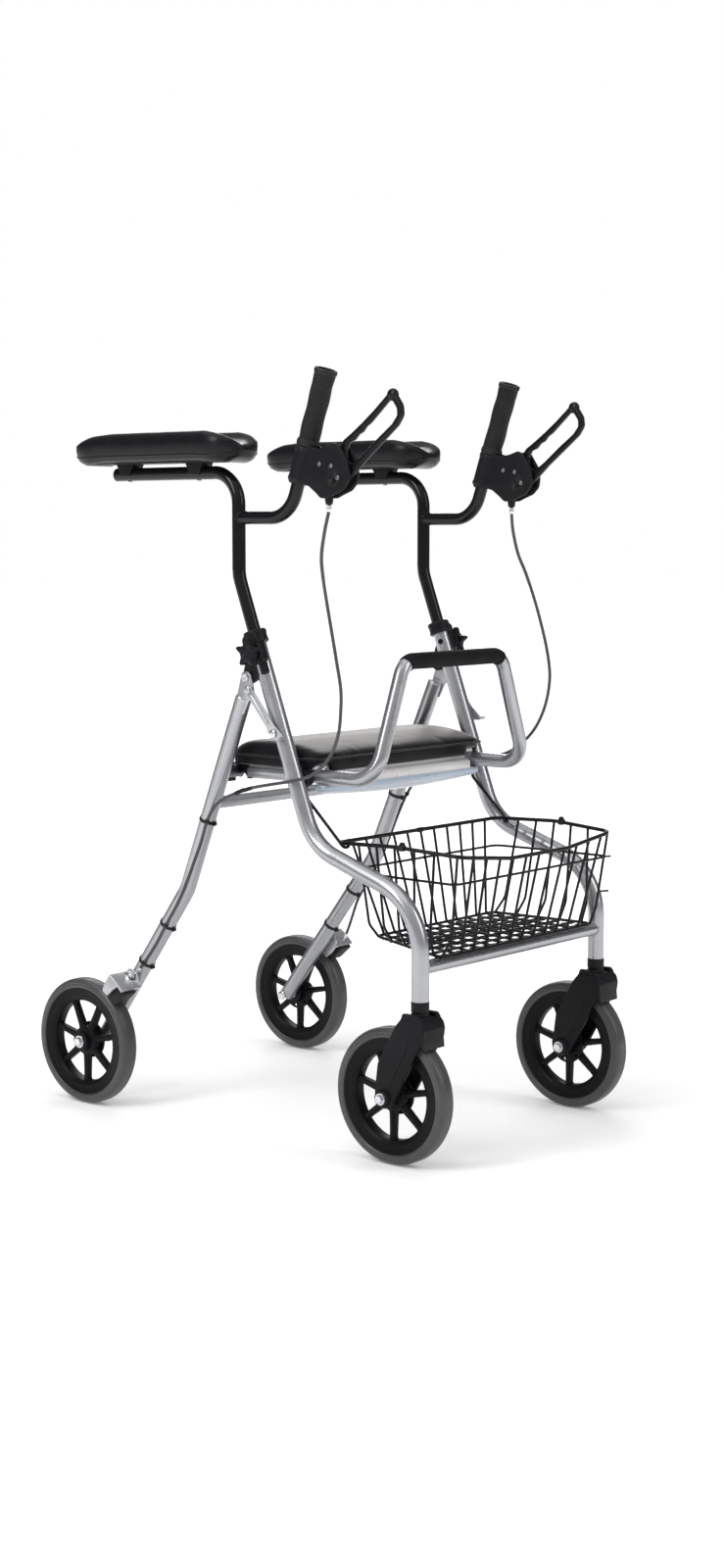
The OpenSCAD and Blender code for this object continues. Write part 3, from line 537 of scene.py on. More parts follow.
# ================================================================== sizes shared with the CAD
SY = 219.0
AX = 301.5
RWY = 254.6
LEAN = math.atan(0.374)
SL, CL = math.sin(LEAN), math.cos(LEAN)
LEG_TOP = (1 + 0.374 * 89, SY, 750.0)
HINGE, HOOK, PEG = (28.0, 690.0), (35.0, 672.0), (1 + 0.374 * 229, 610.0)
SEAT_P, REST_P = (113.0, 543.0), (-31.0, 541.0)
GU = unit((68.1, 0, 202))
G0 = np.array((137.7, SY, 1028.4))
LEVER_P = (197.0, 981.0)
BQ = (-AX + 141 * 0.605, 100 + 141 * 0.796)


def leg_tf(q):
    """From the front leg's own frame (X down the leg, Y as the walker, Z to the front) to the walker's."""
    return (SL * q[0] + CL * q[2] + LEG_TOP[0], q[1] + LEG_TOP[1], -CL * q[0] + SL * q[2] + LEG_TOP[2])


def ry(z):
    return 217.8 + 0.0207 * (z - 100)


def dome(r, h, e=0.8):
    """Profile of a low domed bolt head of radius r and height h."""
    return [(r - e, 0), (r, e * 0.4), (r, h * 0.45), (r - e * 0.6, h * 0.7), (r * 0.72, h * 0.93), (r * 0.4, h), (0.01, h)]


def socket_screw(g, at, axis, r, h, n=32, tf=None):
    """A round head with a hex socket pressed in it."""
    g.lathe([(r * 0.6, -0.4), (r - 0.5, 0), (r, 0.5), (r, h - 0.8), (r - 0.7, h), (r * 0.56, h), (r * 0.5, h - 0.5), (r * 0.48, h - h * 0.55), (0.01, h - h * 0.6)], at, axis, n, tf=tf)


def hex_head(g, at, axis, r, h, tf=None):
    """A hex head on its washer."""
    g.lathe([(r * 1.28, 0), (r * 1.32, 0.4), (r * 1.32, 1.2), (r * 1.26, 1.6), (r * 0.8, 1.6)], at, axis, 36, tf=tf)
    g.lathe([(r * 0.9, 1.5), (r, 1.9), (r, h - 0.9), (r * 0.9, h - 0.2), (r * 0.7, h), (0.01, h)], at, axis, 6, tf=tf)


# ================================================================== pieces that come in left and right
def tyre_profile():
    side = [(84.9, 12.6), (85.6, 13.9), (87.2, 14.8), (88.6, 15.0), (90.6, 15.0), (91.2, 14.55), (91.9, 14.5), (92.6, 14.6)]
    arc = [(92.6 + 7.4 * math.sin(math.radians(a)), 5.0 + 9.6 * math.cos(math.radians(a))) for a in range(8, 91, 9)]
    crown = [(100.0, 4.6), (99.55, 4.1), (99.5, 3.7), (99.9, 3.2), (100.0, 2.6)]
    half = side + arc + crown
    return [(r, -h) for r, h in half] + [(r, h) for r, h in reversed(half)]


def wheel(which, cx, cy, sfx, mirror):
    body = f"{which}_wheel_{sfx}"
    g = Geo().lathe(tyre_profile(), (cx, cy, 100), n=144, closed=True)
    make(f"{which}_tyre_rubber_{sfx}", g, "tyre_grey", body, mirror, 50, [f"{which}_tyre_{sfx}"])
    g = Geo()
    ring = [(65.2, -8.6), (66.2, -9.8), (68.2, -10.6), (70.5, -12.2), (72.5, -12.6), (81.5, -12.6), (82.6, -13.3), (84.2, -13.3),
            (85.1, -12.4), (85.1, 12.4), (84.2, 13.3), (82.6, 13.3), (81.5, 12.6), (72.5, 12.6), (70.5, 12.2), (68.2, 10.6),
            (66.2, 9.8), (65.2, 8.6), (64.6, 7.2), (64.6, -7.2)]
    g.lathe(ring, (cx, cy, 100), n=144, closed=True)
    half = [(13, 9.5), (18, 8.2), (21.5, 7.0), (24.5, 6.0), (28, 5.4), (36, 5.0), (50, 4.6), (59, 4.35), (62, 4.7), (64, 5.6), (65.6, 7.4), (67.2, 10.0)]
    for i in range(7):
        a = math.radians(-91 + i * 360 / 7)
        ca, sa = math.cos(a), math.sin(a)
        pts = half + [(r, -w) for r, w in reversed(half)]
        g.slab([(cx + r * ca - w * sa, 100 + r * sa + w * ca) for r, w in pts], cy - 5, cy + 5, 1.3, seg=2)
    # a rib along each spoke
    for i in range(7):
        a = math.radians(-91 + i * 360 / 7)
        ca, sa = math.cos(a), math.sin(a)
        for s in (-1, 1):
            p0 = (cx + 16 * ca, cy + s * 4.6, 100 + 16 * sa)
            p1 = (cx + 66.5 * ca, cy + s * 4.6, 100 + 66.5 * sa)
            g.sweep([p0, p1], [2.6, 1.9], 12, 0.2)
    hub = [(0.01, 17.6), (7.4, 17.6), (7.7, 18.2), (13.6, 18.2), (14.8, 17.4), (15.1, 16.0), (15.4, 8.4), (16.2, 7.4), (21.6, 7.0),
           (22.8, 6.2), (23.2, 5.0), (23.2, -5.0), (22.8, -6.2), (21.6, -7.0), (16.2, -7.4), (15.4, -8.4), (15.1, -16.0),
           (14.8, -17.4), (13.6, -18.2), (7.7, -18.2), (7.4, -17.6), (0.01, -17.6)]
    g.lathe(hub, (cx, cy, 100), n=72)
    # a flange on the inner side with small lightening holes
    fl = [circle(cx + 23.6 * math.cos(math.radians(20 + k * 60)), 100 + 23.6 * math.sin(math.radians(20 + k * 60)), 2.4, 14) for k in range(6)]
    g.slab(circle(cx, 100, 29, 64), cy - 9.6, cy - 6.4, 0.8, [*fl, circle(cx, 100, 14.5, 40)], 2)
    make(f"{which}_rim_moulding_{sfx}", g, "wheel_plastic", body, mirror, 35, [f"{which}_rim_{sfx}"])


def side(sfx, mirror):
    LR = sfx
    post, lever, knob, hook, brake, caster = (f"{b}_{sfx}" for b in ("post", "lever", "knob", "hook", "brake", "caster"))
    wheel("rear", -AX, RWY, sfx, mirror)
    wheel("front", AX, SY, sfx, mirror)

    # ---- forearm pad: a padded trough, its skin drawn down over the base
    L, W = 172.5, 47.0
    half = [(0, 25.6), (6, 25.9), (13, 27.2), (20, 30.0), (26, 34.2), (31, 38.0), (35, 40.0), (38.5, 39.8), (42, 37.6), (45, 33.2),
            (46.6, 27.5), (47, 21.5), (46.4, 15.4), (44.6, 10.2), (41.6, 6.0), (37.6, 3.0), (32.4, 1.4), (27.4, 0.4), (20, 0.2), (10, 0.2), (0, 0.2)]
    prof = half + [(-y, z) for y, z in reversed(half[1:-1])]
    dense = []
    m = len(prof)
    for i in range(m):
        a, b, c, e = (np.array(prof[(i + k) % m], float) for k in (-1, 0, 1, 2))
        for t in (0, 1 / 3, 2 / 3):
            dense.append(0.5 * ((2 * b) + (c - a) * t + (2 * a - 5 * b + 4 * c - e) * t * t + (3 * b - a - 3 * c + e) * t ** 3))
    n = len(dense)
    K = 46
    stations = sorted(set([L * math.copysign(1 - (1 - abs(k / K)) ** 1.6, k) for k in range(-K, K + 1)]))
    v, f = [], []
    x0, z0, zc = -152.0, 1012.9, 17.0
    for sx in stations:
        over = min(max(0.0, abs(sx) - (L - 1.15 * W)) / (1.15 * W), 0.99999)
        sw = (1 - over ** 2.5) ** (1 / 2.3)
        sh = (1 - over ** 3.2) ** (1 / 2.5)
        back = max(0.0, (-sx - 70) / (L - 70))
        for y, z in dense:
            rim = max(0.0, z - 25.6)
            lower = rim * min(0.8, 0.55 * over + 0.45 * back ** 1.4)
            top = max(0.0, (z - 12) / 28)
            zm = zc - 5.0 * over
            zz = zm + (z - lower - zm) * sh - (2.5 * over ** 2 + 2.5 * back ** 2) * top
            # the padded skin rolls down past the base along both sides, and more round both ends
            side_in = min(max((abs(y) - 27.6) / 6.0, 0.0), 1.0)
            end_in = min(max((abs(sx) - 134.0) / 9.0, 0.0), 1.0)
            hang = max(side_in, end_in) * (5.6 + 2.4 * min(max((abs(sx) - 100.0) / 30.0, 0.0), 1.0))
            fade = min(max((20.0 - z) / 20.0, 0.0), 1.0)
            zz -= hang * fade * (1 - over ** 4)
            p = Vector((sx * 0.03, y * 0.04, z * 0.05 + (7 if mirror else 0)))
            puff = noise.noise(p) * 0.7 + noise.noise(p * 3.1) * 0.25
            yy = y * sw * (1 + puff * 0.012)
            low = 0.05 if abs(yy) < 27.5 and abs(sx) < 134 else -8.6
            v.append((x0 + sx, SY + yy, z0 + max(low, zz + puff * 0.35 * (1 if z > 3 else 0))))
    s = len(stations)
    for i in range(s - 1):
        for j in range(n):
            f.append((i * n + j, i * n + (j + 1) % n, (i + 1) * n + (j + 1) % n, (i + 1) * n + j))
    f.append(tuple(range(n)))
    f.append(tuple((s - 1) * n + j for j in range(n)))
    pad = make(f"forearm_pad_skin_{sfx}", Geo().add(v, f), "pad_skin", post, mirror, 80, [f"forearm_pad_{LR}"], weld=2e-5)
    # piped welt round the bottom edge
    s0 = len(stations)
    ji = max(range(n), key=lambda j: dense[j][0] if 4 < dense[j][1] < 9 else -99)
    jo = min(range(n), key=lambda j: dense[j][0] if 4 < dense[j][1] < 9 else 99)
    loop = [v[i * n + ji] for i in range(1, s0 - 1)] + [v[i * n + jo] for i in range(s0 - 2, 0, -1)]
    loop.append(loop[0])
    g = Geo().sweep(loop, 1.35, 10, 0.2)
    make(f"forearm_pad_welt_{sfx}", g, "pad_skin", post, mirror, 70)
    # ---- plate under the pad, with its two tube brackets and their screws
    g = Geo()
    plate = rnd([(-278, -25), (-26, -25), (-20, -19), (-20, 19), (-26, 25), (-278, 25), (-284, 19), (-284, -19)], 5)
    g.slab(plate, -1013.4, -1007.4, 1.6, tf=lambda q: (q[0], SY + q[2], -q[1]))
    for bx in (-228, -80):
        g.slab(rnd([(-11, 989), (11, 989), (13, 998), (16, 1003), (19, 1008.4), (-19, 1008.4), (-16, 1003), (-13, 998)], 2.4), -12.4, 12.4, 1.6,
               tf=lambda q, bx=bx: (q[0] + bx, SY + q[1], q[2]))
    make(f"pad_plate_moulding_{sfx}", g, "black_plastic", post, mirror, 38, [f"pad_base_{LR}"])
    g = Geo()
    for bx in (-228, -80):
        socket_screw(g, (bx, SY, 982.2), (0, 0, -1), 3.6, 2.0, 24)
    make(f"pad_plate_screws_{sfx}", g, "zinc_bolts", post, mirror)
    # ---- end plug of the arm tube, and a weld bead where the branch leaves it
    g = Geo().lathe([(0.01, 3.6), (5, 3.4), (8.4, 2.2), (10.1, 0.6), (10.2, -0.6), (8.6, -1.0), (8.4, -8), (0.01, -8)], (-255, SY, 992), (-1, 0, 0), 40)
    make(f"arm_tube_plug_{sfx}", g, "black_plastic", post, mirror)
    g = Geo()
    bead = []
    for k in range(49):
        t = 2 * math.pi * k / 48
        yy, zz = 9.9 * math.cos(t), 9.9 * math.sin(t)
        bead.append((1 + math.sqrt(max(0.0, 10.0 ** 2 - (yy * 0.98) ** 2)) + 0.6, SY + yy, 925 + zz))
    g.sweep(bead, [1.25 + 0.22 * math.sin(k * 2.1) for k in range(49)], 10, 0.1)
    make(f"branch_weld_{sfx}", g, "black_tube", post, mirror, 70)

    # ---- hand grip: moulded rubber, ribbed, with a flared lower collar and an open mouth
    g = Geo()
    gp = [(10.2, 0.0), (15.2, 0.0), (16.6, -0.2), (17.0, 1.4), (17.0, 4.4), (16.5, 6.4), (15.6, 7.8)]
    h = 9.0
    while h < 104.5:
        base = 15.35 + 0.55 * math.sin((h - 12) / 24.0 * math.pi) * (0.6 if h < 90 else 0.2) + (0.9 * max(0.0, (h - 88) / 17))
        gp += [(base, h), (base, h + 1.25), (base - 0.42, h + 1.6), (base - 0.42, h + 2.1)]
        h += 2.45
    gp += [(16.4, 105.2), (16.9, 106.6), (17.0, 110.2), (16.4, 111.6), (15.2, 112.1), (12.6, 112.1), (11.8, 111.4), (11.6, 104.6), (0.01, 104.4)]
    g.lathe(gp, G0, GU, n=64, wobble=lambda a, h: 1 + 0.035 * math.cos(a) * math.sin((h - 20) / 27.0 * math.pi) * (1 if 8 < h < 104 else 0))
    make(f"hand_grip_rubber_{sfx}", g, "black_rubber", post, mirror, 42, [f"hand_grip_{LR}"])

    # ---- brake housing: two cheeks round the lever, a clamp round the tube, three screws, a cable nozzle
    out = rnd([(122, 1018), (128, 1026), (150, 1027), (166, 1022.5), (182, 1025), (198, 1030), (208, 1026), (223.5, 1003), (226, 986),
               (224, 973.5), (213, 962.5), (198, 957), (186, 952), (172, 951.6), (163, 959.5), (149, 969.5), (132, 974), (113, 974.5), (110, 980)],
              [5, 4, 8, 12, 10, 6, 8, 12, 12, 10, 12, 12, 10, 10, 12, 10, 8, 4, 4], 6)
    g = Geo()
    g.slab(out, SY - 13.4, SY - 7.2, 2.6)
    g.slab(out, SY + 7.2, SY + 13.4, 2.6)
    g.slab(rnd([(114, 978), (132, 977), (147, 973), (160, 965), (163.5, 972), (163.5, 1019), (150, 1023), (130, 1021)], 4), SY - 9, SY + 9, 1.0)
    clamp = [(13.0, -54.6), (16.0, -54.2), (16.9, -52.6), (17.0, -49), (16.2, -48.2), (16.2, -8.4), (17.0, -7.6), (17.0, -2.6), (16.2, -1.4), (12, -1.2)]
    g.lathe(clamp, G0, GU, n=56)
    # raised land round the pivot, on both cheeks
    for s, y in ((1, SY + 12.9), (-1, SY - 12.9)):
        g.lathe([(13.2, -1), (13.0, 0.4), (12.2, 1.3), (9.4, 1.5), (8.6, 0.9), (0.01, 0.9)], (LEVER_P[0], y, LEVER_P[1]), (0, s, 0), 40)
    g.lathe([(0.01, -2), (6.2, -2), (6.4, 0), (5.8, 5), (5.2, 8.6), (4.4, 9.6), (0.01, 9.6)], (178.5, SY, 952.5), (0, 0, -1), 28)
    make(f"brake_housing_moulding_{sfx}", g, "black_plastic", post, mirror, 38, [f"brake_housing_{LR}"])
    g = Geo()
    for sx, sz, rr in ((171.5, 1000.5, 3.4), (193.5, 997.5, 3.4), (206.5, 980.5, 3.6)):
        for s in (-1, 1):
            y = SY + s * (13.2 if rr < 3.5 else 14.0)
            g.lathe([(0.01, -1.5), (rr - 0.3, -1.5), (rr, 0.1), (rr - 0.25, 0.9), (rr * 0.6, 1.5), (rr * 0.42, 1.5), (rr * 0.34, 0.7), (0.01, 0.6)], (sx, y, sz), (0, s, 0), 24)
    make(f"brake_housing_screws_{sfx}", g, "dark_steel", post, mirror)
    g = Geo().lathe([(0.01, 0), (3.4, 0), (3.6, 0.5), (3.6, 2.6), (3.0, 3.0), (3.0, 3.9), (3.6, 4.3), (3.6, 8.2), (3.2, 8.8), (0.01, 8.8)], (178.5, SY, 941.4), (0, 0, -1), 24)
    make(f"cable_adjuster_{sfx}", g, "zinc_bolts", post, mirror)

    # ---- brake lever: a closed loop with finger steps inside, a round stop at its tip
    g = Geo()
    lo = rnd([(184.5, 985), (188, 1002), (196, 1015), (207.5, 1033.5), (224.5, 1044.4), (242.5, 1057.2), (264.5, 1074.2), (284, 1091), (290, 1096.6), (297, 1099.4), (303.5, 1094.5),
              (314.2, 1079.5), (316, 1065), (306.6, 1051.2), (277.6, 1028), (249.6, 1006), (225, 983.5), (211, 970.5), (198, 968), (187, 974)],
             [6, 6, 10, 10, 6, 10, 10, 6, 4, 4, 7, 13, 12, 14, 20, 20, 16, 8, 8, 8], 6)
    li = rnd([(214.5, 1004), (212.5, 1020.5), (217.5, 1029.6), (227.5, 1033.4), (234.5, 1040.6), (242, 1044), (248.5, 1051.2), (256.5, 1056), (290, 1085.6),
              (297.2, 1086), (305.6, 1074.5), (306, 1065), (297, 1054), (270, 1034), (244, 1013), (226, 1000.5)],
             [7, 7, 4, 1.6, 2.0, 1.6, 2.0, 3, 5, 4, 6, 6, 8, 20, 16, 6], 5)
    g.slab(lo, SY - 4.5, SY + 4.5, 3.0, [li], 4)
    for sgn in (-1, 1):
        g.lathe([(4.1, -0.4), (12.4, -0.4), (12.9, 0.3), (12.9, 1.6), (12.2, 2.1), (4.1, 2.1)], (LEVER_P[0], SY + sgn * 4.4, LEVER_P[1]), (0, sgn, 0), 40, closed=True)
    g.lathe([(0.01, -5.4), (5.0, -5.2), (7.8, -3.6), (8.8, -1.2), (8.8, 1.2), (7.8, 3.6), (5.0, 5.2), (0.01, 5.4)], (296.5, SY, 1094), (0, 1, 0), 32)
    make(f"brake_lever_loop_{sfx}", g, "lever_black", lever, mirror, 45, [f"brake_lever_{LR}"])

    # ---- leg clamp: collar, block and ear moulded in one
    g = Geo()
    g.lathe([(10.6, -8.4), (16.4, -8.4), (17.4, -7.4), (17.6, -6), (17.6, -3.2), (16.9, -2.6), (16.9, 5.6), (17.6, 6.2), (17.6, 9.4), (17.0, 10.2), (12.9, 10.2)],
            (0, 0, 0), (1, 0, 0), 48, tf=leg_tf)
    block = rnd([(-4, -13), (2, -16.2), (40, -16.2), (43, -13), (43, 11), (38, 15), (2, 15), (-4, 12)], 3.5)
    g.slab(block, 0.8, 16.2, 2.4, tf=leg_tf)
    ear = rnd([(6, -12), (20, -15), (45, -33.6), (51.4, -37), (58.5, -36.2), (63.4, -31), (64.2, -25), (62, -12), (60, 12), (38, 12)], [3, 6, 8, 6, 6, 6, 6, 3, 3, 4], 5)
    g.slab(ear, 0.6, 12.5, 2.0, tf=leg_tf)
    g.lathe([(14.5, -1.0), (14.2, 0.8), (13.4, 1.6), (10, 1.6)], (25, 15.8, 3.3), (0, 1, 0), 40, tf=leg_tf)
    make(f"leg_clamp_moulding_{sfx}", g, "black_plastic", "front_frame", mirror, 38, [f"leg_clamp_{LR}"])

    # ---- height knob: five lobes
    g = Geo()
    kc = np.array((leg_tf((25, 0, 3.3))[0], leg_tf((25, 0, 3.3))[2]))
    star = []
    for k in range(120):
        a = 2 * math.pi * k / 120
        q = 0.5 + 0.5 * math.cos(5 * (a - math.radians(18)))
        rr = 13.6 + 9.0 * q ** 2.2
        star.append((kc[0] + rr * math.cos(a), kc[1] + rr * math.sin(a)))
    g.slab(star, 241.6, 254.4, 3.4, seg=4)
    g.lathe([(0.01, -6.6), (8.0, -6.6), (8.5, -6.0), (8.5, 0.5), (10.5, 1.5), (0.01, 1.5)], (kc[0], 241.9, kc[1]), (0, 1, 0), 40)
    g.lathe([(0.01, -1), (10.6, -1), (10.4, 0.4), (9.2, 1.4), (8.6, 1.5), (8.3, 1.1), (7.6, 1.1), (7.2, 1.7), (4, 2.2), (0.01, 2.3)], (kc[0], 254.1, kc[1]), (0, 1, 0), 40)
    g.lathe([(0.01, 0), (4.0, 0), (4.0, 6), (0.01, 6)], (kc[0], 230.7, kc[1]), (0, 1, 0), 24)
    make(f"height_knob_star_{sfx}", g, "black_plastic", knob, mirror, 40, [f"height_knob_{LR}"])

    # ---- lock hook: a pressed steel bar with its finger tab
    v = np.array(PEG) - np.array(HOOK)
    a = math.atan2(v[1], v[0])
    ln = float(np.hypot(*v))

    def hook_tf(q):
        return (HOOK[0] + q[0] * math.cos(a) - q[2] * math.sin(a), q[1], HOOK[1] + q[0] * math.sin(a) + q[2] * math.cos(a))
    g = Geo()
    ho = [(-7.4, 0), (-5.2, -5.2), (0, -7.2), (8, -6.0), (ln - 12, -5.6), (ln - 9, -8), (ln - 5.2, -8.1), (ln - 4.7, 0), (ln - 3.3, 3.3), (ln, 4.7), (ln + 3.3, 3.3),
          (ln + 4.7, 0), (ln + 5.8, -5.6), (ln + 8.6, -3.8), (ln + 17, 7.6), (ln + 17, 13), (ln + 5, 10.8), (ln - 3, 9.7), (ln - 8, 8.8), (0, 7.5), (-5.2, 5.2)]
    g.slab(rnd(ho, [3, 3, 3, 4, 3, 2, 2, 0, 0, 0, 0, 0, 1.5, 2, 2, 2, 4, 4, 4, 3, 3], 4), 236.1, 239.1, 0.5, seg=2, tf=hook_tf)
    # stiffening rib pressed along the bar, and the turned-out tab
    g.sweep([(9, 239.0, 0.8), (ln - 16, 239.0, 0.8)], 2.0, 14, 2.0, tf=hook_tf)
    g.slab(rnd([(ln + 14.3, 7.4), (ln + 17.2, 7.4), (ln + 17.2, 12.9), (ln + 14.3, 12.9)], 1.0), 236.6, 248.2, 0.5, seg=2, tf=hook_tf)
    make(f"lock_hook_bar_{sfx}", g, "steel_plate", hook, mirror, 38, [f"lock_hook_{LR}"])

    # ---- brake arm: bent plate over the tyre, two cheeks, spring eye
    def polar(r0, d0):
        return (-AX + r0 * math.cos(math.radians(d0)), 100 + r0 * math.sin(math.radians(d0)))
    arch = [polar(139, 43 + 15 * k / 12) for k in range(13)] + [polar(135.6, 58 - 15 * k / 12) for k in range(13)]
    g = Geo()
    g.slab(arch, 246.2, 276.8, 0.7, seg=2)
    # a notch for the pivot bolt lets the arch run back to the inner cheek on both sides of it
    for t0, t1 in ((43, 49.4), (56.2, 58)):
        g.slab([polar(139, t0 + (t1 - t0) * k / 6) for k in range(7)] + [polar(135.6, t1 - (t1 - t0) * k / 6) for k in range(7)], 234.2, 247.5, 0.5, seg=2)
    cheek_in = rnd([polar(105.2, 58), polar(126, 58.6), polar(143, 58.4), polar(149, 55), polar(149.5, 50), polar(144, 46), polar(134, 43.4), polar(118, 42.6), polar(105.2, 43.5), polar(104.6, 50)],
                   [3, 3, 5, 6, 6, 6, 5, 8, 3, 0], 4)
    g.slab(cheek_in, 234, 238, 0.7, seg=2)
    cheek_out = rnd([polar(107, 58), polar(124, 58.4), polar(138.8, 58), polar(138.8, 53), polar(138.8, 47.4), polar(124, 49.4), polar(107.4, 50.6)], [4, 2, 1, 0, 1, 6, 4], 4)
    g.slab(cheek_out, 273, 277, 0.7, seg=2)
    # spring that lifts the shoe, on its peg beside the inner cheek
    coil = [(BQ[0] + 5.6 * math.cos(k * 0.5), 226.4 + 0.105 * k, BQ[1] + 5.6 * math.sin(k * 0.5)) for k in range(60)]
    make(f"brake_arm_plate_{sfx}", g, "steel_plate", brake, mirror, 38, [f"brake_arm_{LR}"])
    g = Geo().sweep(coil + [(BQ[0] + 3.0, 232.6, BQ[1] - 14)], 0.75, 8, 0.2)
    make(f"brake_return_spring_{sfx}", g, "zinc_bolts", "rear_frame", mirror, 70)
    shoe = [polar(135.4, 41 + 13 * k / 10) for k in range(11)] + [polar(103.1, 54 - 13 * k / 10) for k in range(11)]
    g = Geo().slab(rnd(shoe, [2.5] + [0] * 9 + [1.5, 1.5] + [0] * 9 + [2.5], 4), 246.6, 271.8, 1.2, seg=3)
    for dd in (44, 48, 52):
        g.sweep([(polar(103.0, dd)[0], 249, polar(103.0, dd)[1]), (polar(103.0, dd)[0], 269, polar(103.0, dd)[1])], 0.9, 8, 0.3)
    make(f"brake_shoe_rubber_{sfx}", g, "black_rubber", brake, mirror, 40, [f"brake_shoe_{LR}"])

    # ---- caster fork
    g = Geo()
    cx = 348.0
    arm = rnd([(333, 220), (350, 221.6), (366, 220), (371.5, 214), (374, 205), (372.5, 193), (366, 183), (357.5, 168), (344.5, 142), (317.5, 95), (313, 88.6), (304, 84.4),
               (294.5, 84.8), (288, 90), (284.8, 99), (285, 111), (289.8, 150), (302.5, 173), (321.5, 207)],
              [4, 6, 5, 5, 8, 10, 12, 20, 20, 8, 6, 8, 8, 8, 8, 10, 20, 16, 12], 5)
    for s in (-1, 1):
        g.slab(arm, SY + s * 18.6, SY + s * 26.0, 2.6)
        g.lathe([(13.2, -2), (13.2, 0.5), (12.6, 4.4), (11.6, 6.4), (10.2, 7.0), (0.01, 7.0)], (AX, SY + s * 25.6, 100), (0, s, 0), 44)
        g.lathe([(9.0, 0), (8.8, 0.4), (7.4, 0.6), (0.01, 0.6)], (AX, SY + s * 18.7, 100), (0, -s, 0), 36)
    arcp = [(AX + 106.5 * math.cos(math.radians(t)), 100 + 106.5 * math.sin(math.radians(t))) for t in (94, 86, 78, 70, 62, 54, 47)]
    crown = [(323, 208.5), (333, 221.4), (364.5, 221.4), (370.6, 215.5), (373.8, 206), (372.6, 193)] + list(reversed([p for p in arcp if p[0] > 322]))
    g.slab(rnd(crown, [3, 4, 4, 4, 5, 4] + [0] * (len(crown) - 6), 4), SY - 24.5, SY + 24.5, 2.4)
    # raised shoulders and the swivel collar
    for s in (-1, 1):
        g.slab(rnd([(331.5, 219), (334.5, 227), (361.5, 227), (368.5, 219)], 2.2), SY + s * 16.6, SY + s * 24.6, 1.6)
    g.lathe([(15.8, -2), (15.8, 0.1), (15.0, 0.7), (6.2, 0.7)], (cx, SY, 221.2), (0, 0, 1), 48)
    # a rib down the outside of each arm
    for s in (-1, 1):
        g.sweep([(350, SY + s * 25.7, 200), (338, SY + s * 25.7, 172), (322, SY + s * 25.7, 140), (309, SY + s * 25.7, 117)], [1.6, 2.1, 2.1, 1.5], 12, 0.8)
    make(f"caster_fork_moulding_{sfx}", g, "black_plastic", caster, mirror, 38, [f"caster_fork_{LR}"])
    g = Geo()
    for s in (-1, 1):
        hex_head(g, (AX, SY + s * 32.5, 100), (0, s, 0), 6.6, 6.2)
    g.lathe([(0.01, -31.8), (4.9, -31.8), (4.9, 31.8), (0.01, 31.8)], (AX, SY, 100), (0, 1, 0), 32)
    make(f"caster_axle_bolt_{sfx}", g, "zinc_bolts", caster, mirror, 38, [f"caster_axle_{LR}"])

    # ---- cables
    up = [(178.5, 219, 943), (178, 220.3, 930), (176.4, 226.5, 905), (179, 236.5, 870), (188.5, 244.2, 840), (201.4, 249.8, 800), (213.1, 253, 760),
          (223.3, 254.8, 720), (230.2, 254, 682), (228.5, 252.2, 650), (221.6, 248.6, 620), (208, 245.5, 593), (188, 242.5, 571), (160, 241, 553),
          (127.8, 240.5, 543.6), (85, 240.2, 535.5), (45, 240, 527.5), (20, 240, 520.3)]
    dn = [(19.2, 240, 519.9), (-8, 240.6, 509), (-30, 241.2, 495), (-49, 239.5, 470), (-65.5, 236.6, 435), (-81, 237, 402), (-97.8, 237.4, 367.5)]
    if mirror:
        dn += [(-118, 236.6, 334), (-141.5, 235.8, 301.8), (-165, 235, 268), (-188, 235.2, 239.5), (-206, 236, 220)]
    else:
        dn += [(-117, 236.6, 336), (-136, 234.5, 307), (-151, 232.5, 281), (-161, 232, 256), (-171, 232.5, 232), (-182, 235, 213)]
    g = Geo().sweep(catmull(up, 10), 2.5, 16, 0.3)
    o = make(f"brake_cable_upper_sheath_{sfx}", g, "cable_sheath", None, mirror, 60, [f"brake_cable_upper_{LR}"], ride=False)
    s = -1 if mirror else 1
    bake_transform(o)
    g = Geo().sweep(catmull(dn, 10), 2.5, 16, 0.3)
    o = make(f"brake_cable_lower_sheath_{sfx}", g, "cable_sheath", None, mirror, 60, [f"brake_cable_lower_{LR}"], ride=False)
    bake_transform(o)
    # the joint sleeve half way, and the steel end cap and bare wire at the brake
    g = Geo().sweep([up[-2], up[-1]], [2.9, 3.1], 14, 0.5)
    g.sweep([(28, 240, 523.4), (19.6, 240, 520.1), (11, 240.2, 516.8)], [3.1, 3.2, 3.1], 16, 0.8)
    make(f"cable_joint_sleeve_{sfx}", g, "black_plastic", "front_frame", mirror, 50)
    e1, e0 = np.array(dn[-1], float), np.array(dn[-2], float)
    ue = unit(e1 - e0)
    g = Geo().sweep([e1 - ue * 9, e1 - ue * 0.5, e1 + ue * 1.6], [3.1, 3.1, 2.2], 16, 0.5)
    g.sweep([e1 + ue, e1 + ue * 6, (BQ[0] + (7 if mirror else 18), 240, BQ[1] + (4 if mirror else -8))], 0.8, 8, 0.2)
    make(f"cable_end_cap_{sfx}", g, "zinc_bolts", "rear_frame", mirror, 50)


side("left", False)
side("right", True)


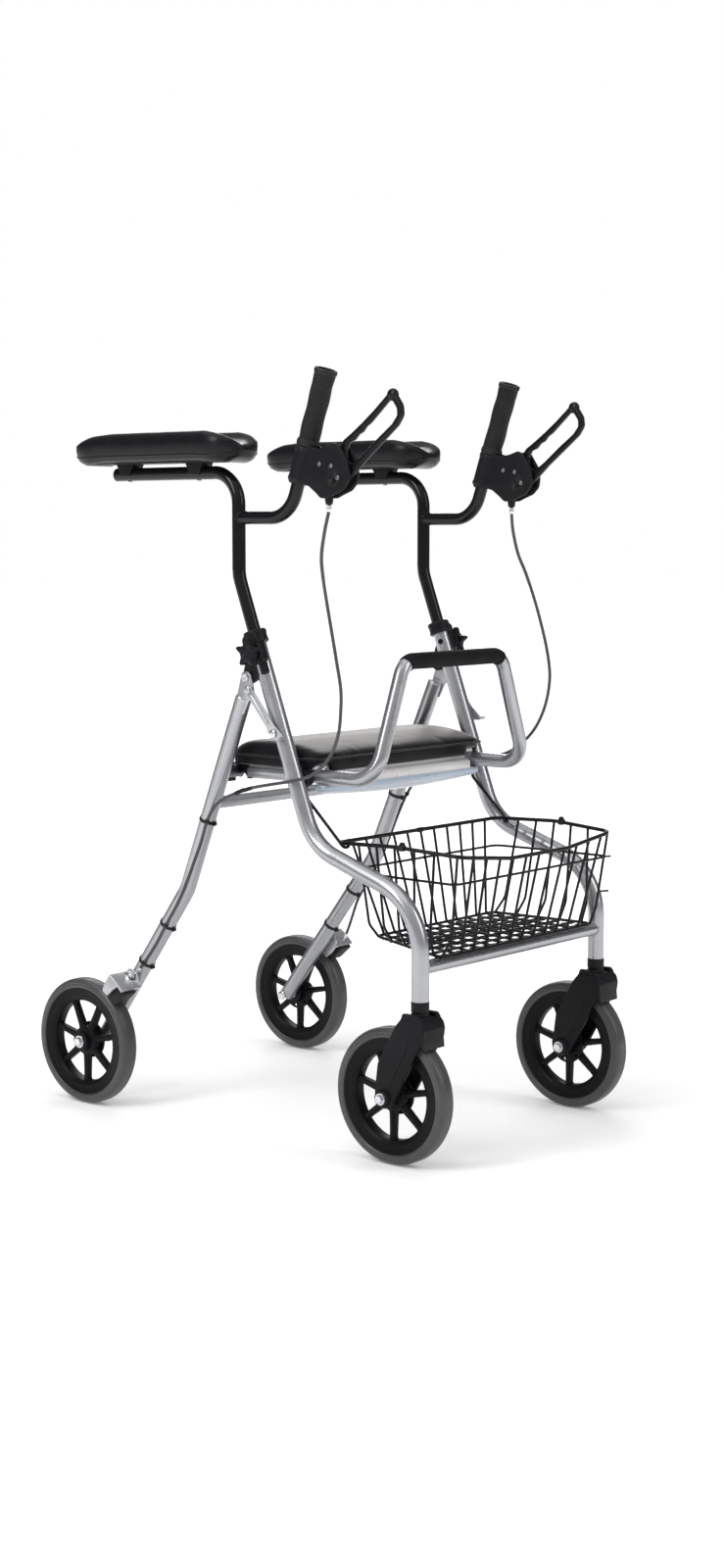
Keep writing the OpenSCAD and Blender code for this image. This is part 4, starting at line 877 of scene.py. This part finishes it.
# ================================================================== shared pieces
# ---- seat loop foam, spacers and pins
FC = 118 - 30 * math.tan(math.radians(34.74)) + 30 * math.tan(math.radians(21))
FE, FD = FC + 12.4 * math.cos(math.radians(42)), 716 - 12.4 * math.sin(math.radians(42))
fp = bend([(235, FE, FD), (235, FC, 716), (235, -FC, 716), (235, -FE, FD)], [30, 30], 16)
dense = []
for i in range(len(fp) - 1):
    a, b = fp[i], fp[i + 1]
    k = max(1, int(np.linalg.norm(b - a) / 3))
    dense += [a + (b - a) * j / k for j in range(k)]
dense.append(fp[-1])
dense = dense[4:-4]
rad = [12.2 + 0.15 * noise.noise(Vector((i * 0.21, 0.3, 0.1))) for i in range(len(dense))]
g = Geo().sweep(dense, rad, 44, 1.6)
foam = make("loop_foam_sleeve", g, "foam", "seat_frame", False, 60, ["loop_foam"])

g = Geo()
for s in (-1, 1):
    g.lathe([(5.2, -0.2), (13.0, -0.2), (13.6, 0.6), (13.6, 7), (12.8, 7.8), (12.8, 10.6), (13.6, 11.4), (13.6, 14.2), (5.2, 14.2)],
            (SEAT_P[0], s * 193.5, SEAT_P[1]), (0, s, 0), 44)
make("seat_pivot_spacers", g, "black_plastic", "front_frame", False, 38, ["seat_pivots"])
g = Geo()
for s in (-1, 1):
    socket_screw(g, (SEAT_P[0], s * 170.4, SEAT_P[1]), (0, -s, 0), 8.4, 4.6)
    g.lathe([(0.01, 0), (4.9, 0), (4.9, 24), (0.01, 24)], (SEAT_P[0], s * 170.4, SEAT_P[1]), (0, s, 0), 28)
make("seat_pivot_bolts", g, "zinc_bolts", "front_frame")

g = Geo()
for s in (-1, 1):
    socket_screw(g, (HINGE[0], s * 235.7, HINGE[1]), (0, s, 0), 6.2, 2.9)
    g.lathe([(0.01, 219.4), (3.9, 219.4), (3.9, 236), (0.01, 236)], (HINGE[0], 0, HINGE[1]), (0, s, 0), 24)
    g.lathe([(0.01, 230.3), (3.9, 230.3), (3.9, 240.6), (0.01, 240.6)], (PEG[0], 0, PEG[1]), (0, s, 0), 28)
    g.lathe(dome(6.2, 2.3), (PEG[0], s * 240.3, PEG[1]), (0, s, 0), 32)
make("frame_pin_rivets", g, "zinc_bolts", "front_frame", False, 38, ["frame_pins"])

# ---- lug plates that carry the hinge and the hook
g = Geo()
for s in (-1, 1):
    mf = (lambda q: (q[0], -q[1], q[2])) if s < 0 else None
    lug = rnd([(19.6, 695.4), (24, 699.4), (32.4, 699), (38, 694), (43.6, 672), (41.4, 665), (34, 655), (24, 636), (19, 633.5), (7.4, 638), (5.6, 642.5), (10, 662)],
              [6, 6, 6, 5, 6, 6, 10, 5, 3, 3, 3, 12], 5)
    g.slab(lug, 232.2, 235.4, 0.6, seg=2, tf=mf)
    u2 = unit((143.3, 7, 341.5))
    top = np.array((35.8 - 40 * 143.3 / 341.5, ry(660), 660))
    g.lathe([(0.01, 3.4), (7, 3.2), (11.2, 1.8), (12.6, -0.4), (12.5, -2.0), (10.6, -2.2), (10.5, -9), (0.01, -9)], top, u2, 44, tf=mf)
    g.lathe([(0.01, 233), (2.95, 233), (2.95, 240), (0.01, 240)], (HOOK[0], 0, HOOK[1]), (0, s, 0), 24)
    g.lathe(dome(6.0, 2.4), (HOOK[0], s * 239.3, HOOK[1]), (0, s, 0), 32)
    # weld seams where the plate meets the leg
    for e in ((8, 641, 20, 636), (10.5, 661, 20.6, 690)):
        pts = [(e[0] + (e[2] - e[0]) * k / 12, s * 232.4, e[1] + (e[3] - e[1]) * k / 12) for k in range(13)]
        g.sweep(pts, [1.5 + 0.3 * math.sin(k * 2.3) for k in range(13)], 10, 0.6)
make("rear_leg_lug_plates", g, "steel_plate", "rear_frame", False, 38, ["rear_leg_lugs"])

# ---- seat rest pegs
g = Geo()
for s in (-1, 1):
    g.lathe([(0.01, 222), (5.9, 222), (5.9, 187), (6.6, 186.4), (6.9, 185.4), (6.9, 184), (6.2, 183.2), (0.01, 183)], (REST_P[0], 0, REST_P[1]), (0, s, 0), 36)
make("seat_rest_peg_rods", g, "dark_steel", "rear_frame", False, 38, ["seat_rest_pegs"])

# ---- rear axles: bolts, heads, spacers
g = Geo()
for s in (-1, 1):
    g.lathe([(0.01, 204), (4.9, 204), (4.9, 275), (0.01, 275)], (-AX, 0, 100), (0, s, 0), 32)
    hex_head(g, (-AX, s * (RWY + 18.5), 100), (0, s, 0), 7.4, 6.4)
    g.lathe([(8, 230.6), (8.2, 231.2), (8.2, 235.4), (8, 236)], (-AX, 0, 100), (0, s, 0), 32)
    g.lathe(dome(8.0, 3.6), (-AX, s * 205.2, 100), (0, -s, 0), 32)
    g.lathe([(0.01, 226), (3.9, 226), (3.9, 240.6), (0.01, 240.6)], (BQ[0], 0, BQ[1]), (0, s, 0), 24)
    hex_head(g, (BQ[0], s * 239.9, BQ[1]), (0, s, 0), 5.2, 4.4)
make("rear_axle_bolts", g, "zinc_bolts", "rear_frame", False, 38, ["rear_axles"])

# ---- cable ties: strap and lock block
g = Geo()
for s in (-1, 1):
    mf = (lambda q: (q[0], -q[1], q[2])) if s < 0 else None
    for z in (470, 300, 235):
        if z > 358.5:
            c, u2 = (-107.5 + (z - 358.5) * 143.3 / 341.5, ry(z), z), unit((143.3, 7, 341.5))
        else:
            c, u2 = (-301.5 + (z - 100) * 0.7505, ry(z), z), unit((194, 5.3, 258.5))
        g.lathe([(12.5, -2.3), (13.2, -2.5), (13.6, -2.1), (13.6, 2.1), (13.2, 2.5), (12.5, 2.3)], c, u2, 48, closed=True, tf=mf)
        cab = {470: (-49, 239.5), 300: (-142.6, 235.8), 235: (-191.8, 235.3)}[z]
        if s < 0 or z > 400:
            mid = np.array([cab[0], cab[1], z - 0.0])
            g.lathe([(2.6, -2.3), (3.4, -2.5), (3.8, -2.1), (3.8, 2.1), (3.4, 2.5), (2.6, 2.3)], mid, u2, 24, closed=True, tf=mf)
        front = unit(np.cross(np.cross(u2, (1, 0, 0.2)), u2))
        b = np.array(c) + front * 14.6
        g.sweep([b - unit((0, 1, 0)) * 3.4, b + unit((0, 1, 0)) * 3.4], 3.1, 8, 0.8, tf=mf)
make("cable_tie_straps", g, "black_plastic", "rear_frame", False, 50, ["cable_ties"])

# ---- caster bushes
g = Geo()
for s in (-1, 1):
    g.lathe([(6.2, 0.2), (12.4, 0.2), (13.1, 0.9), (13.1, 3.4), (12.4, 4.0), (12.4, 6.0), (13.1, 6.6), (13.2, 20.0), (12.8, 20.9), (11.1, 21.0), (11.0, 58), (6.2, 58)],
            (348, s * SY, 222.3), (0, 0, 1), 56)
make("caster_bush_collars", g, "black_plastic", "front_frame", False, 38, ["caster_bushes"])

# ---- basket: wires, diamond floor mesh, rim buttons
def rim_y(x):
    return 195 + (x - 172) / 56 if x < 284 else 197 - 11 * (x - 284) / 112


def rim_z(x):
    return 452 + 3.5 * (x - 172) / 112 if x < 284 else 455.5 - 6.5 * (x - 284) / 112


def floor_z(x):
    return 310 - 7 * (x - 204) / 160


def floor_y(x):
    return 142 + 48 * (x - 204) / 160


g = Geo()
rim = bend([(172, -0.5, 452), (172, -195, 452), (284, -197, 455.5), (396, -186, 449), (396, -70, 436), (396, 70, 436), (396, 186, 449),
            (284, 197, 455.5), (172, 195, 452), (172, 0.5, 452)], [16, 60, 18, 60, 60, 18, 60, 16], 12)
g.sweep(rim, 3.0, 18, 0.5)
g.lathe([(3.0, -8), (3.7, -7), (3.8, 0), (3.7, 7), (3.0, 8)], (172, 0, 452), (0, 1, 0), 20)
g.sweep(bend([(364, 60, 303), (364, 190, 303), (204, 142, 310), (204, -142, 310), (364, -190, 303), (364, -60, 303)], [14, 14, 14, 14], 10), 2.3, 14, 0.4)
g.sweep([(364, -165, 303), (364, 165, 303)], 2.9, 16, 0.8)
for i in range(-5, 6):
    y = i * 29
    zf = 436 if abs(y * 1.1) <= 70 else 436 + 13 * (abs(y * 1.1) - 70) / 116
    g.sweep(bend([(396, y * 1.1, zf), (364, y, 301.5), (204, y * 0.86, 308.5), (172, y * 1.12, 452)], [9, 9], 10), 2.05, 12, 0.3)
for s in (-1, 1):
    for i in range(5):
        x = 214 + i * 34
        ff = x - 6
        g.sweep(bend([(x, s * rim_y(x), rim_z(x)), (x - 4, s * (floor_y(ff) + 24 - i * 3.4), 332), (ff, s * floor_y(ff), floor_z(ff))], [24], 12), 2.05, 12, 0.3)
    # near corners: two short uprights
    g.sweep(bend([(389, s * 187.5, 449.2), (374, s * 180, 332), (360, s * 184, 303)], [20], 10), 2.05, 12, 0.3)
belt = bend([(180, 0.5, 410), (180, 181.5, 410), (282, 189.6, 410), (388.6, 190.9, 410), (388.6, -190.9, 410), (282, -189.6, 410), (180, -181.5, 410), (180, -0.5, 410)],
            [14, 60, 14, 14, 60, 14], 10)
g.sweep(belt, 1.95, 12, 0.3)
for i in range(5):
    x = 226 + i * 28
    g.sweep([(x, -floor_y(x), floor_z(x)), (x, floor_y(x), floor_z(x))], 1.4, 12, 0.3)
make("basket_wires", g, "black_wire", "basket", False, 50, ["wire_basket"])

g = Geo()
pitch_x, pitch_y = 22.0, 33.0
for j in range(9):
    xx = 208 + (j + 0.5) * pitch_x
    if xx > 362:
        continue
    w = floor_y(xx) - 3
    k = int(2 * w / (pitch_y / 2))
    for s in (-1, 1):
        pts = []
        for q in range(k + 1):
            y = -w + 2 * w * q / k
            ph = math.cos(math.pi * y / (pitch_y / 2))
            pts.append((min(max(xx + s * ph * pitch_x * 0.25, 206), 364), y, floor_z(xx) - 2.2 + 0.5 * ph))
        g.sweep(pts, 1.9, 8, 0.2)
make("basket_floor_mesh", g, "black_wire", "basket", False, 60)

# small plastic buttons on the side rims, and the wire ends that stand out at the front corners
g = Geo()
for s in (-1, 1):
    g.lathe([(3.2, -5.0), (4.6, -4.4), (4.6, 4.0), (3.9, 6.4), (2.6, 7.8), (0.01, 8.2)], (296, s * 196.2, 455.4), (0, 0, 1), 28)
    g.lathe([(3.1, -5), (4.4, -5), (4.4, 5), (3.1, 5)], (296, s * 196.6, 455.2), (1, 0, 0), 24, closed=True)
make("basket_rim_buttons", g, "black_plastic", "basket")
g = Geo()
for s in (-1, 1):
    for z, y0 in ((410, 190.9), (357, 186.0)):
        g.sweep([(384, s * (y0 - 10), z), (388.6, s * y0, z), (389.6, s * (y0 + 4), z)], 1.6, 12, 0.3)
make("basket_wire_ends", g, "black_wire", "basket", False, 60)

g = Geo()
for s in (-1, 1):
    g.sweep(bend([(116, s * 200.8, 534), (118, s * 200.8, 514), (190, s * 200.8, 446.7), (190, s * 189, 446.7), (190, s * 189, 459)], [8, 5, 5], 10), 2.5, 18, 1.0)
make("basket_hanger_hooks", g, "black_wire", "front_frame", False, 50, ["basket_hangers"])

# ---- weld beads on the silver frame
g = Geo()
for s in (-1, 1):
    for k, (cx, cz, dd, yy, r0) in enumerate(((348, 290.2, 20, SY - 12.0, 10.3),)):
        pts = []
        for q in range(41):
            t = 2 * math.pi * q / 40
            lx, lz = r0 * math.cos(t), r0 * math.sin(t)
            pts.append((cx + lx, s * (SY - math.sqrt(max(0.0, 12.7 ** 2 - lx ** 2)) + 0.2), cz + lz))
        g.sweep(pts, [1.15 + 0.25 * math.sin(q * 1.9) for q in range(41)], 10, 0.1)
make("basket_bar_welds", g, "silver_tube", "front_frame", False, 70)


# ---- seat cushion: a padded block, swollen by cloth pressure, then its welts
def cushion():
    name = "seat_cushion_skin"
    top_line = []
    for k in range(45):
        u = math.cos(math.pi * k / 44)
        rise = (1 - u ** 1.6) ** 0.75 if u >= 0 else (1 - (-u) ** 4) ** 0.6
        top_line.append((86 * u, 13 + 17.6 * rise))
    prof = [(-83.6, 0.2), (-82, 0), (82, 0), (83.6, 0.2), (85.2, 1.4), (86, 3.4), (86, 8), *top_line, (-86, 8), (-86, 3.4), (-85.2, 1.4)]
    n = len(prof)
    v, f = [], []
    ys = [203 * math.copysign(1 - (1 - abs(k / 40)) ** 1.7, k) for k in range(-40, 41)]
    for y in ys:
        c = max(0.0, abs(y) - 187) / 16.0
        cut = 16 * (1 - math.sqrt(max(0.0, 1 - c * c)))
        sx = (86 - cut) / 86
        sz = (1 - min(0.999, max(0.0, abs(y) - 180) / 23.0) ** 3.0) ** (1 / 2.6)
        for px, pz in prof:
            hz = pz if pz < 9 else 9 + (pz - 9) * sz
            v.append((52 + px * sx, y, 561.9 + hz))
    for i in range(len(ys) - 1):
        for j in range(n):
            f.append((i * n + j, i * n + (j + 1) % n, (i + 1) * n + (j + 1) % n, (i + 1) * n + j))
    f.append(tuple(range(n)))
    f.append(tuple((len(ys) - 1) * n + j for j in range(n)))
    g = Geo().add(v, f)
    g.slab(rnd([(128.7, 547.4), (137.4, 547.4), (138, 556), (137.6, 572), (128.7, 572)], [3, 4, 6, 2, 2], 4), -167, 167, 3.0, seg=3)
    for s in (-1, 1):
        lo, hi = sorted((s * 194.4, s * 203))
        g.slab(rnd([(-32, 553.4), (125, 553.4), (131, 558), (131, 569), (-32, 569)], [3, 5, 4, 1, 1], 4), lo, hi, 3.0, seg=3)
    o = make(name, g, "seat_skin", None, False, 80, ride=False)
    rm = o.modifiers.new("remesh", "REMESH")
    rm.mode = "VOXEL"
    rm.voxel_size = 0.0042
    rm.adaptivity = 0
    dg = bpy.context.evaluated_depsgraph_get()
    me = bpy.data.meshes.new_from_object(o.evaluated_get(dg))
    o.modifiers.clear()
    o.data = me
    bm = bmesh.new()
    bm.from_mesh(me)
    for _ in range(7):
        bmesh.ops.smooth_vert(bm, verts=bm.verts, factor=0.5, use_axis_x=True, use_axis_y=True, use_axis_z=True)
    bm.to_mesh(me)
    bm.free()
    rest = np.array([v.co for v in me.vertices], float)
    cl = o.modifiers.new("cloth", "CLOTH")
    cs = cl.settings
    cs.use_pressure = True
    cs.uniform_pressure_force = 4.0
    cs.effector_weights.gravity = 0
    cs.tension_stiffness = 30
    cs.compression_stiffness = 30
    cs.bending_stiffness = 2
    cl.point_cache.frame_start = 1
    cl.point_cache.frame_end = 20
    for fr in range(1, 21):
        sc.frame_set(fr)
    dg = bpy.context.evaluated_depsgraph_get()
    ev = o.evaluated_get(dg)
    co = np.array([v.co for v in ev.data.vertices], float)
    o.modifiers.remove(cl)
    sc.frame_set(1)
    move = co - rest
    ln = np.linalg.norm(move, axis=1)
    cap = 0.0018
    k = np.where(ln > cap, cap / np.maximum(ln, 1e-9), 1.0)
    co = rest + move * k[:, None]
    # flat where it rests on its board; the front roll stays outside the lip; shallow creases on top
    body = co[:, 0] < 0.1284
    skirt = np.abs(rest[:, 1]) > 0.1935
    co[:, 2] = np.where(skirt, np.maximum(co[:, 2], 0.553), np.where(body | (np.abs(co[:, 1]) > 0.1675), np.maximum(co[:, 2], 0.5618), np.maximum(co[:, 2], 0.5466)))
    under = skirt & (rest[:, 2] < 0.561)
    co[:, 1] = np.where(under, np.sign(co[:, 1]) * np.maximum(np.abs(co[:, 1]), 0.1936), co[:, 1])
    low = (rest[:, 2] < 0.5612) & (np.abs(rest[:, 1]) < 0.18)
    co[:, 0] = np.where(low, np.maximum(co[:, 0], 0.1283), co[:, 0])
    co[:, 0] = np.clip(co[:, 0], -0.0345, 0.1392)
    co[:, 1] = np.clip(co[:, 1], -0.2040, 0.2040)
    for i in range(len(co)):
        q = Vector((co[i, 0] * 22, co[i, 1] * 14, 1.7))
        soft = min(max((co[i, 2] - 0.568) / 0.02, 0.0), 1.0)
        co[i, 2] += soft * (0.00025 * noise.noise(q) + 0.00012 * noise.noise(q * 2.7))
    co[:, 2] = np.minimum(co[:, 2], 0.5937)
    for v, c in zip(me.vertices, co):
        v.co = c
    me.shade_smooth()
    sub = o.modifiers.new("sub", "SUBSURF")
    sub.levels = 1
    sub.render_levels = 1
    dg = bpy.context.evaluated_depsgraph_get()
    fin = bpy.data.meshes.new_from_object(o.evaluated_get(dg))
    o.modifiers.clear()
    o.data = fin
    fin.materials.clear()
    fin.materials.append(M["seat_skin"])
    fin.shade_smooth()
    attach(o, "seat_frame")
    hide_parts("seat_cushion")
    return o


cush = cushion()
# piped welt where the top panel meets the side band
ring = rnd([(-34.2, -203.2), (138.4, -203.2), (138.4, 203.2), (-34.2, 203.2)], 16, 10)
ring = [(float(q[0]), float(q[1]), 571.6) for q in ring]
dense = []
for i in range(len(ring)):
    a, b = np.array(ring[i]), np.array(ring[(i + 1) % len(ring)])
    k = max(1, int(np.linalg.norm(b - a) / 8))
    dense += [a + (b - a) * j / k for j in range(k)]
dense.append(dense[0])
g = Geo().sweep(dense, 1.5, 10, 0.2)
make("seat_cushion_welt", g, "seat_skin", "seat_frame", False, 70)

# ---- seat pan: thin board, upright lip behind the cushion roll, and the bowed rounded front edge below it
g = Geo()
g.slab(rnd([(-30, -193), (121.5, -193), (127.6, -187), (127.6, 187), (121.5, 193), (-30, 193)], [12, 6, 4, 4, 6, 12], 6), -561.6, -555.8, 1.2,
       tf=lambda q: (q[0], q[2], -q[1]))
g.slab(rnd([(121.6, 528), (121.6, 561.5), (127.8, 561.5), (128.2, 547.4), (129.6, 546), (136.6, 546), (139.8, 543.8), (140.8, 540.4), (140.4, 528)],
           [1, 1, 1.2, 1.2, 1, 2.2, 2.4, 3, 1], 4), -165.4, 165.4, 1.0, seg=2)
lip = rnd([(121.6, 533.4), (121.6, 520.5), (125.4, 515.2), (131.5, 513.2), (137.4, 515.6), (140.4, 521), (141.2, 527.4), (140.6, 531.8), (138.6, 533.4)],
          [1, 4, 5, 6, 6, 5, 4, 2, 1], 6)
lip = [(float(q[0]), float(q[1])) for q in lip]
n = len(lip)
v, f = [], []
ys = [188 * math.copysign(1 - (1 - abs(k / 36)) ** 1.6, k) for k in range(-36, 37)]
for y in ys:
    e = max(0.0, abs(y) - 183) / 5.0
    sh = 1 - 0.28 * (1 - math.sqrt(max(0.0, 1 - e * e)))
    rise = 6.4 * (abs(y) / 188.0) ** 2 - 1.2 * (1 - (abs(y) / 188.0) ** 2)
    for px, pz in lip:
        t = min(1.0, max(0.0, (533.4 - pz) / 18.0))
        v.append((131 + (px - 131) * sh, y, 525 + (pz - 525) * sh + rise * t))
for i in range(len(ys) - 1):
    for j in range(n):
        f.append((i * n + j, i * n + (j + 1) % n, (i + 1) * n + (j + 1) % n, (i + 1) * n + j))
f.append(tuple(range(n)))
f.append(tuple((len(ys) - 1) * n + j for j in range(n)))
g.add(v, f)
# two ribs and four fixing screws under the board
for x in (20, 78):
    g.slab([(x - 3, 549.5), (x + 3, 549.5), (x + 3.4, 556.2), (x - 3.4, 556.2)], -160, 160, 1.0)
make("seat_pan_moulding", g, "seat_pan_grey", "seat_frame", False, 40, ["seat_board"])
g = Geo()
for x in (0, 98):
    for y in (-120, 120):
        socket_screw(g, (x, y, 555.9), (0, 0, -1), 4.0, 2.4, 24)
make("seat_pan_screws", g, "zinc_bolts", "seat_frame")

# ================================================================== floor
bpy.ops.mesh.primitive_plane_add(size=60, location=(0, 0, -0.0002))
floor = bpy.context.object
floor.name = "floor"
fm = bpy.data.materials.new("floor")
fm.use_nodes = True
fb = fm.node_tree.nodes["Principled BSDF"]
fb.inputs["Base Color"].default_value = (0.93, 0.93, 0.93, 1)
fb.inputs["Roughness"].default_value = 0.85
fb.inputs["Specular IOR Level"].default_value = 0.1
fb.inputs["Emission Color"].default_value = (1, 1, 1, 1)
fn = fm.node_tree.nodes
f_co = fn.new("ShaderNodeTexCoord")
f_len = fn.new("ShaderNodeVectorMath")
f_len.operation = "LENGTH"
f_map = fn.new("ShaderNodeMapRange")
f_map.interpolation_type = "SMOOTHSTEP"
f_map.inputs["From Min"].default_value = 0.35
f_map.inputs["From Max"].default_value = 1.9
f_map.inputs["To Min"].default_value = 0.13
f_map.inputs["To Max"].default_value = 0.55
fm.node_tree.links.new(f_co.outputs["Object"], f_len.inputs[0])
fm.node_tree.links.new(f_len.outputs["Value"], f_map.inputs["Value"])
fm.node_tree.links.new(f_map.outputs["Result"], fb.inputs["Emission Strength"])
floor.data.materials.append(fm)
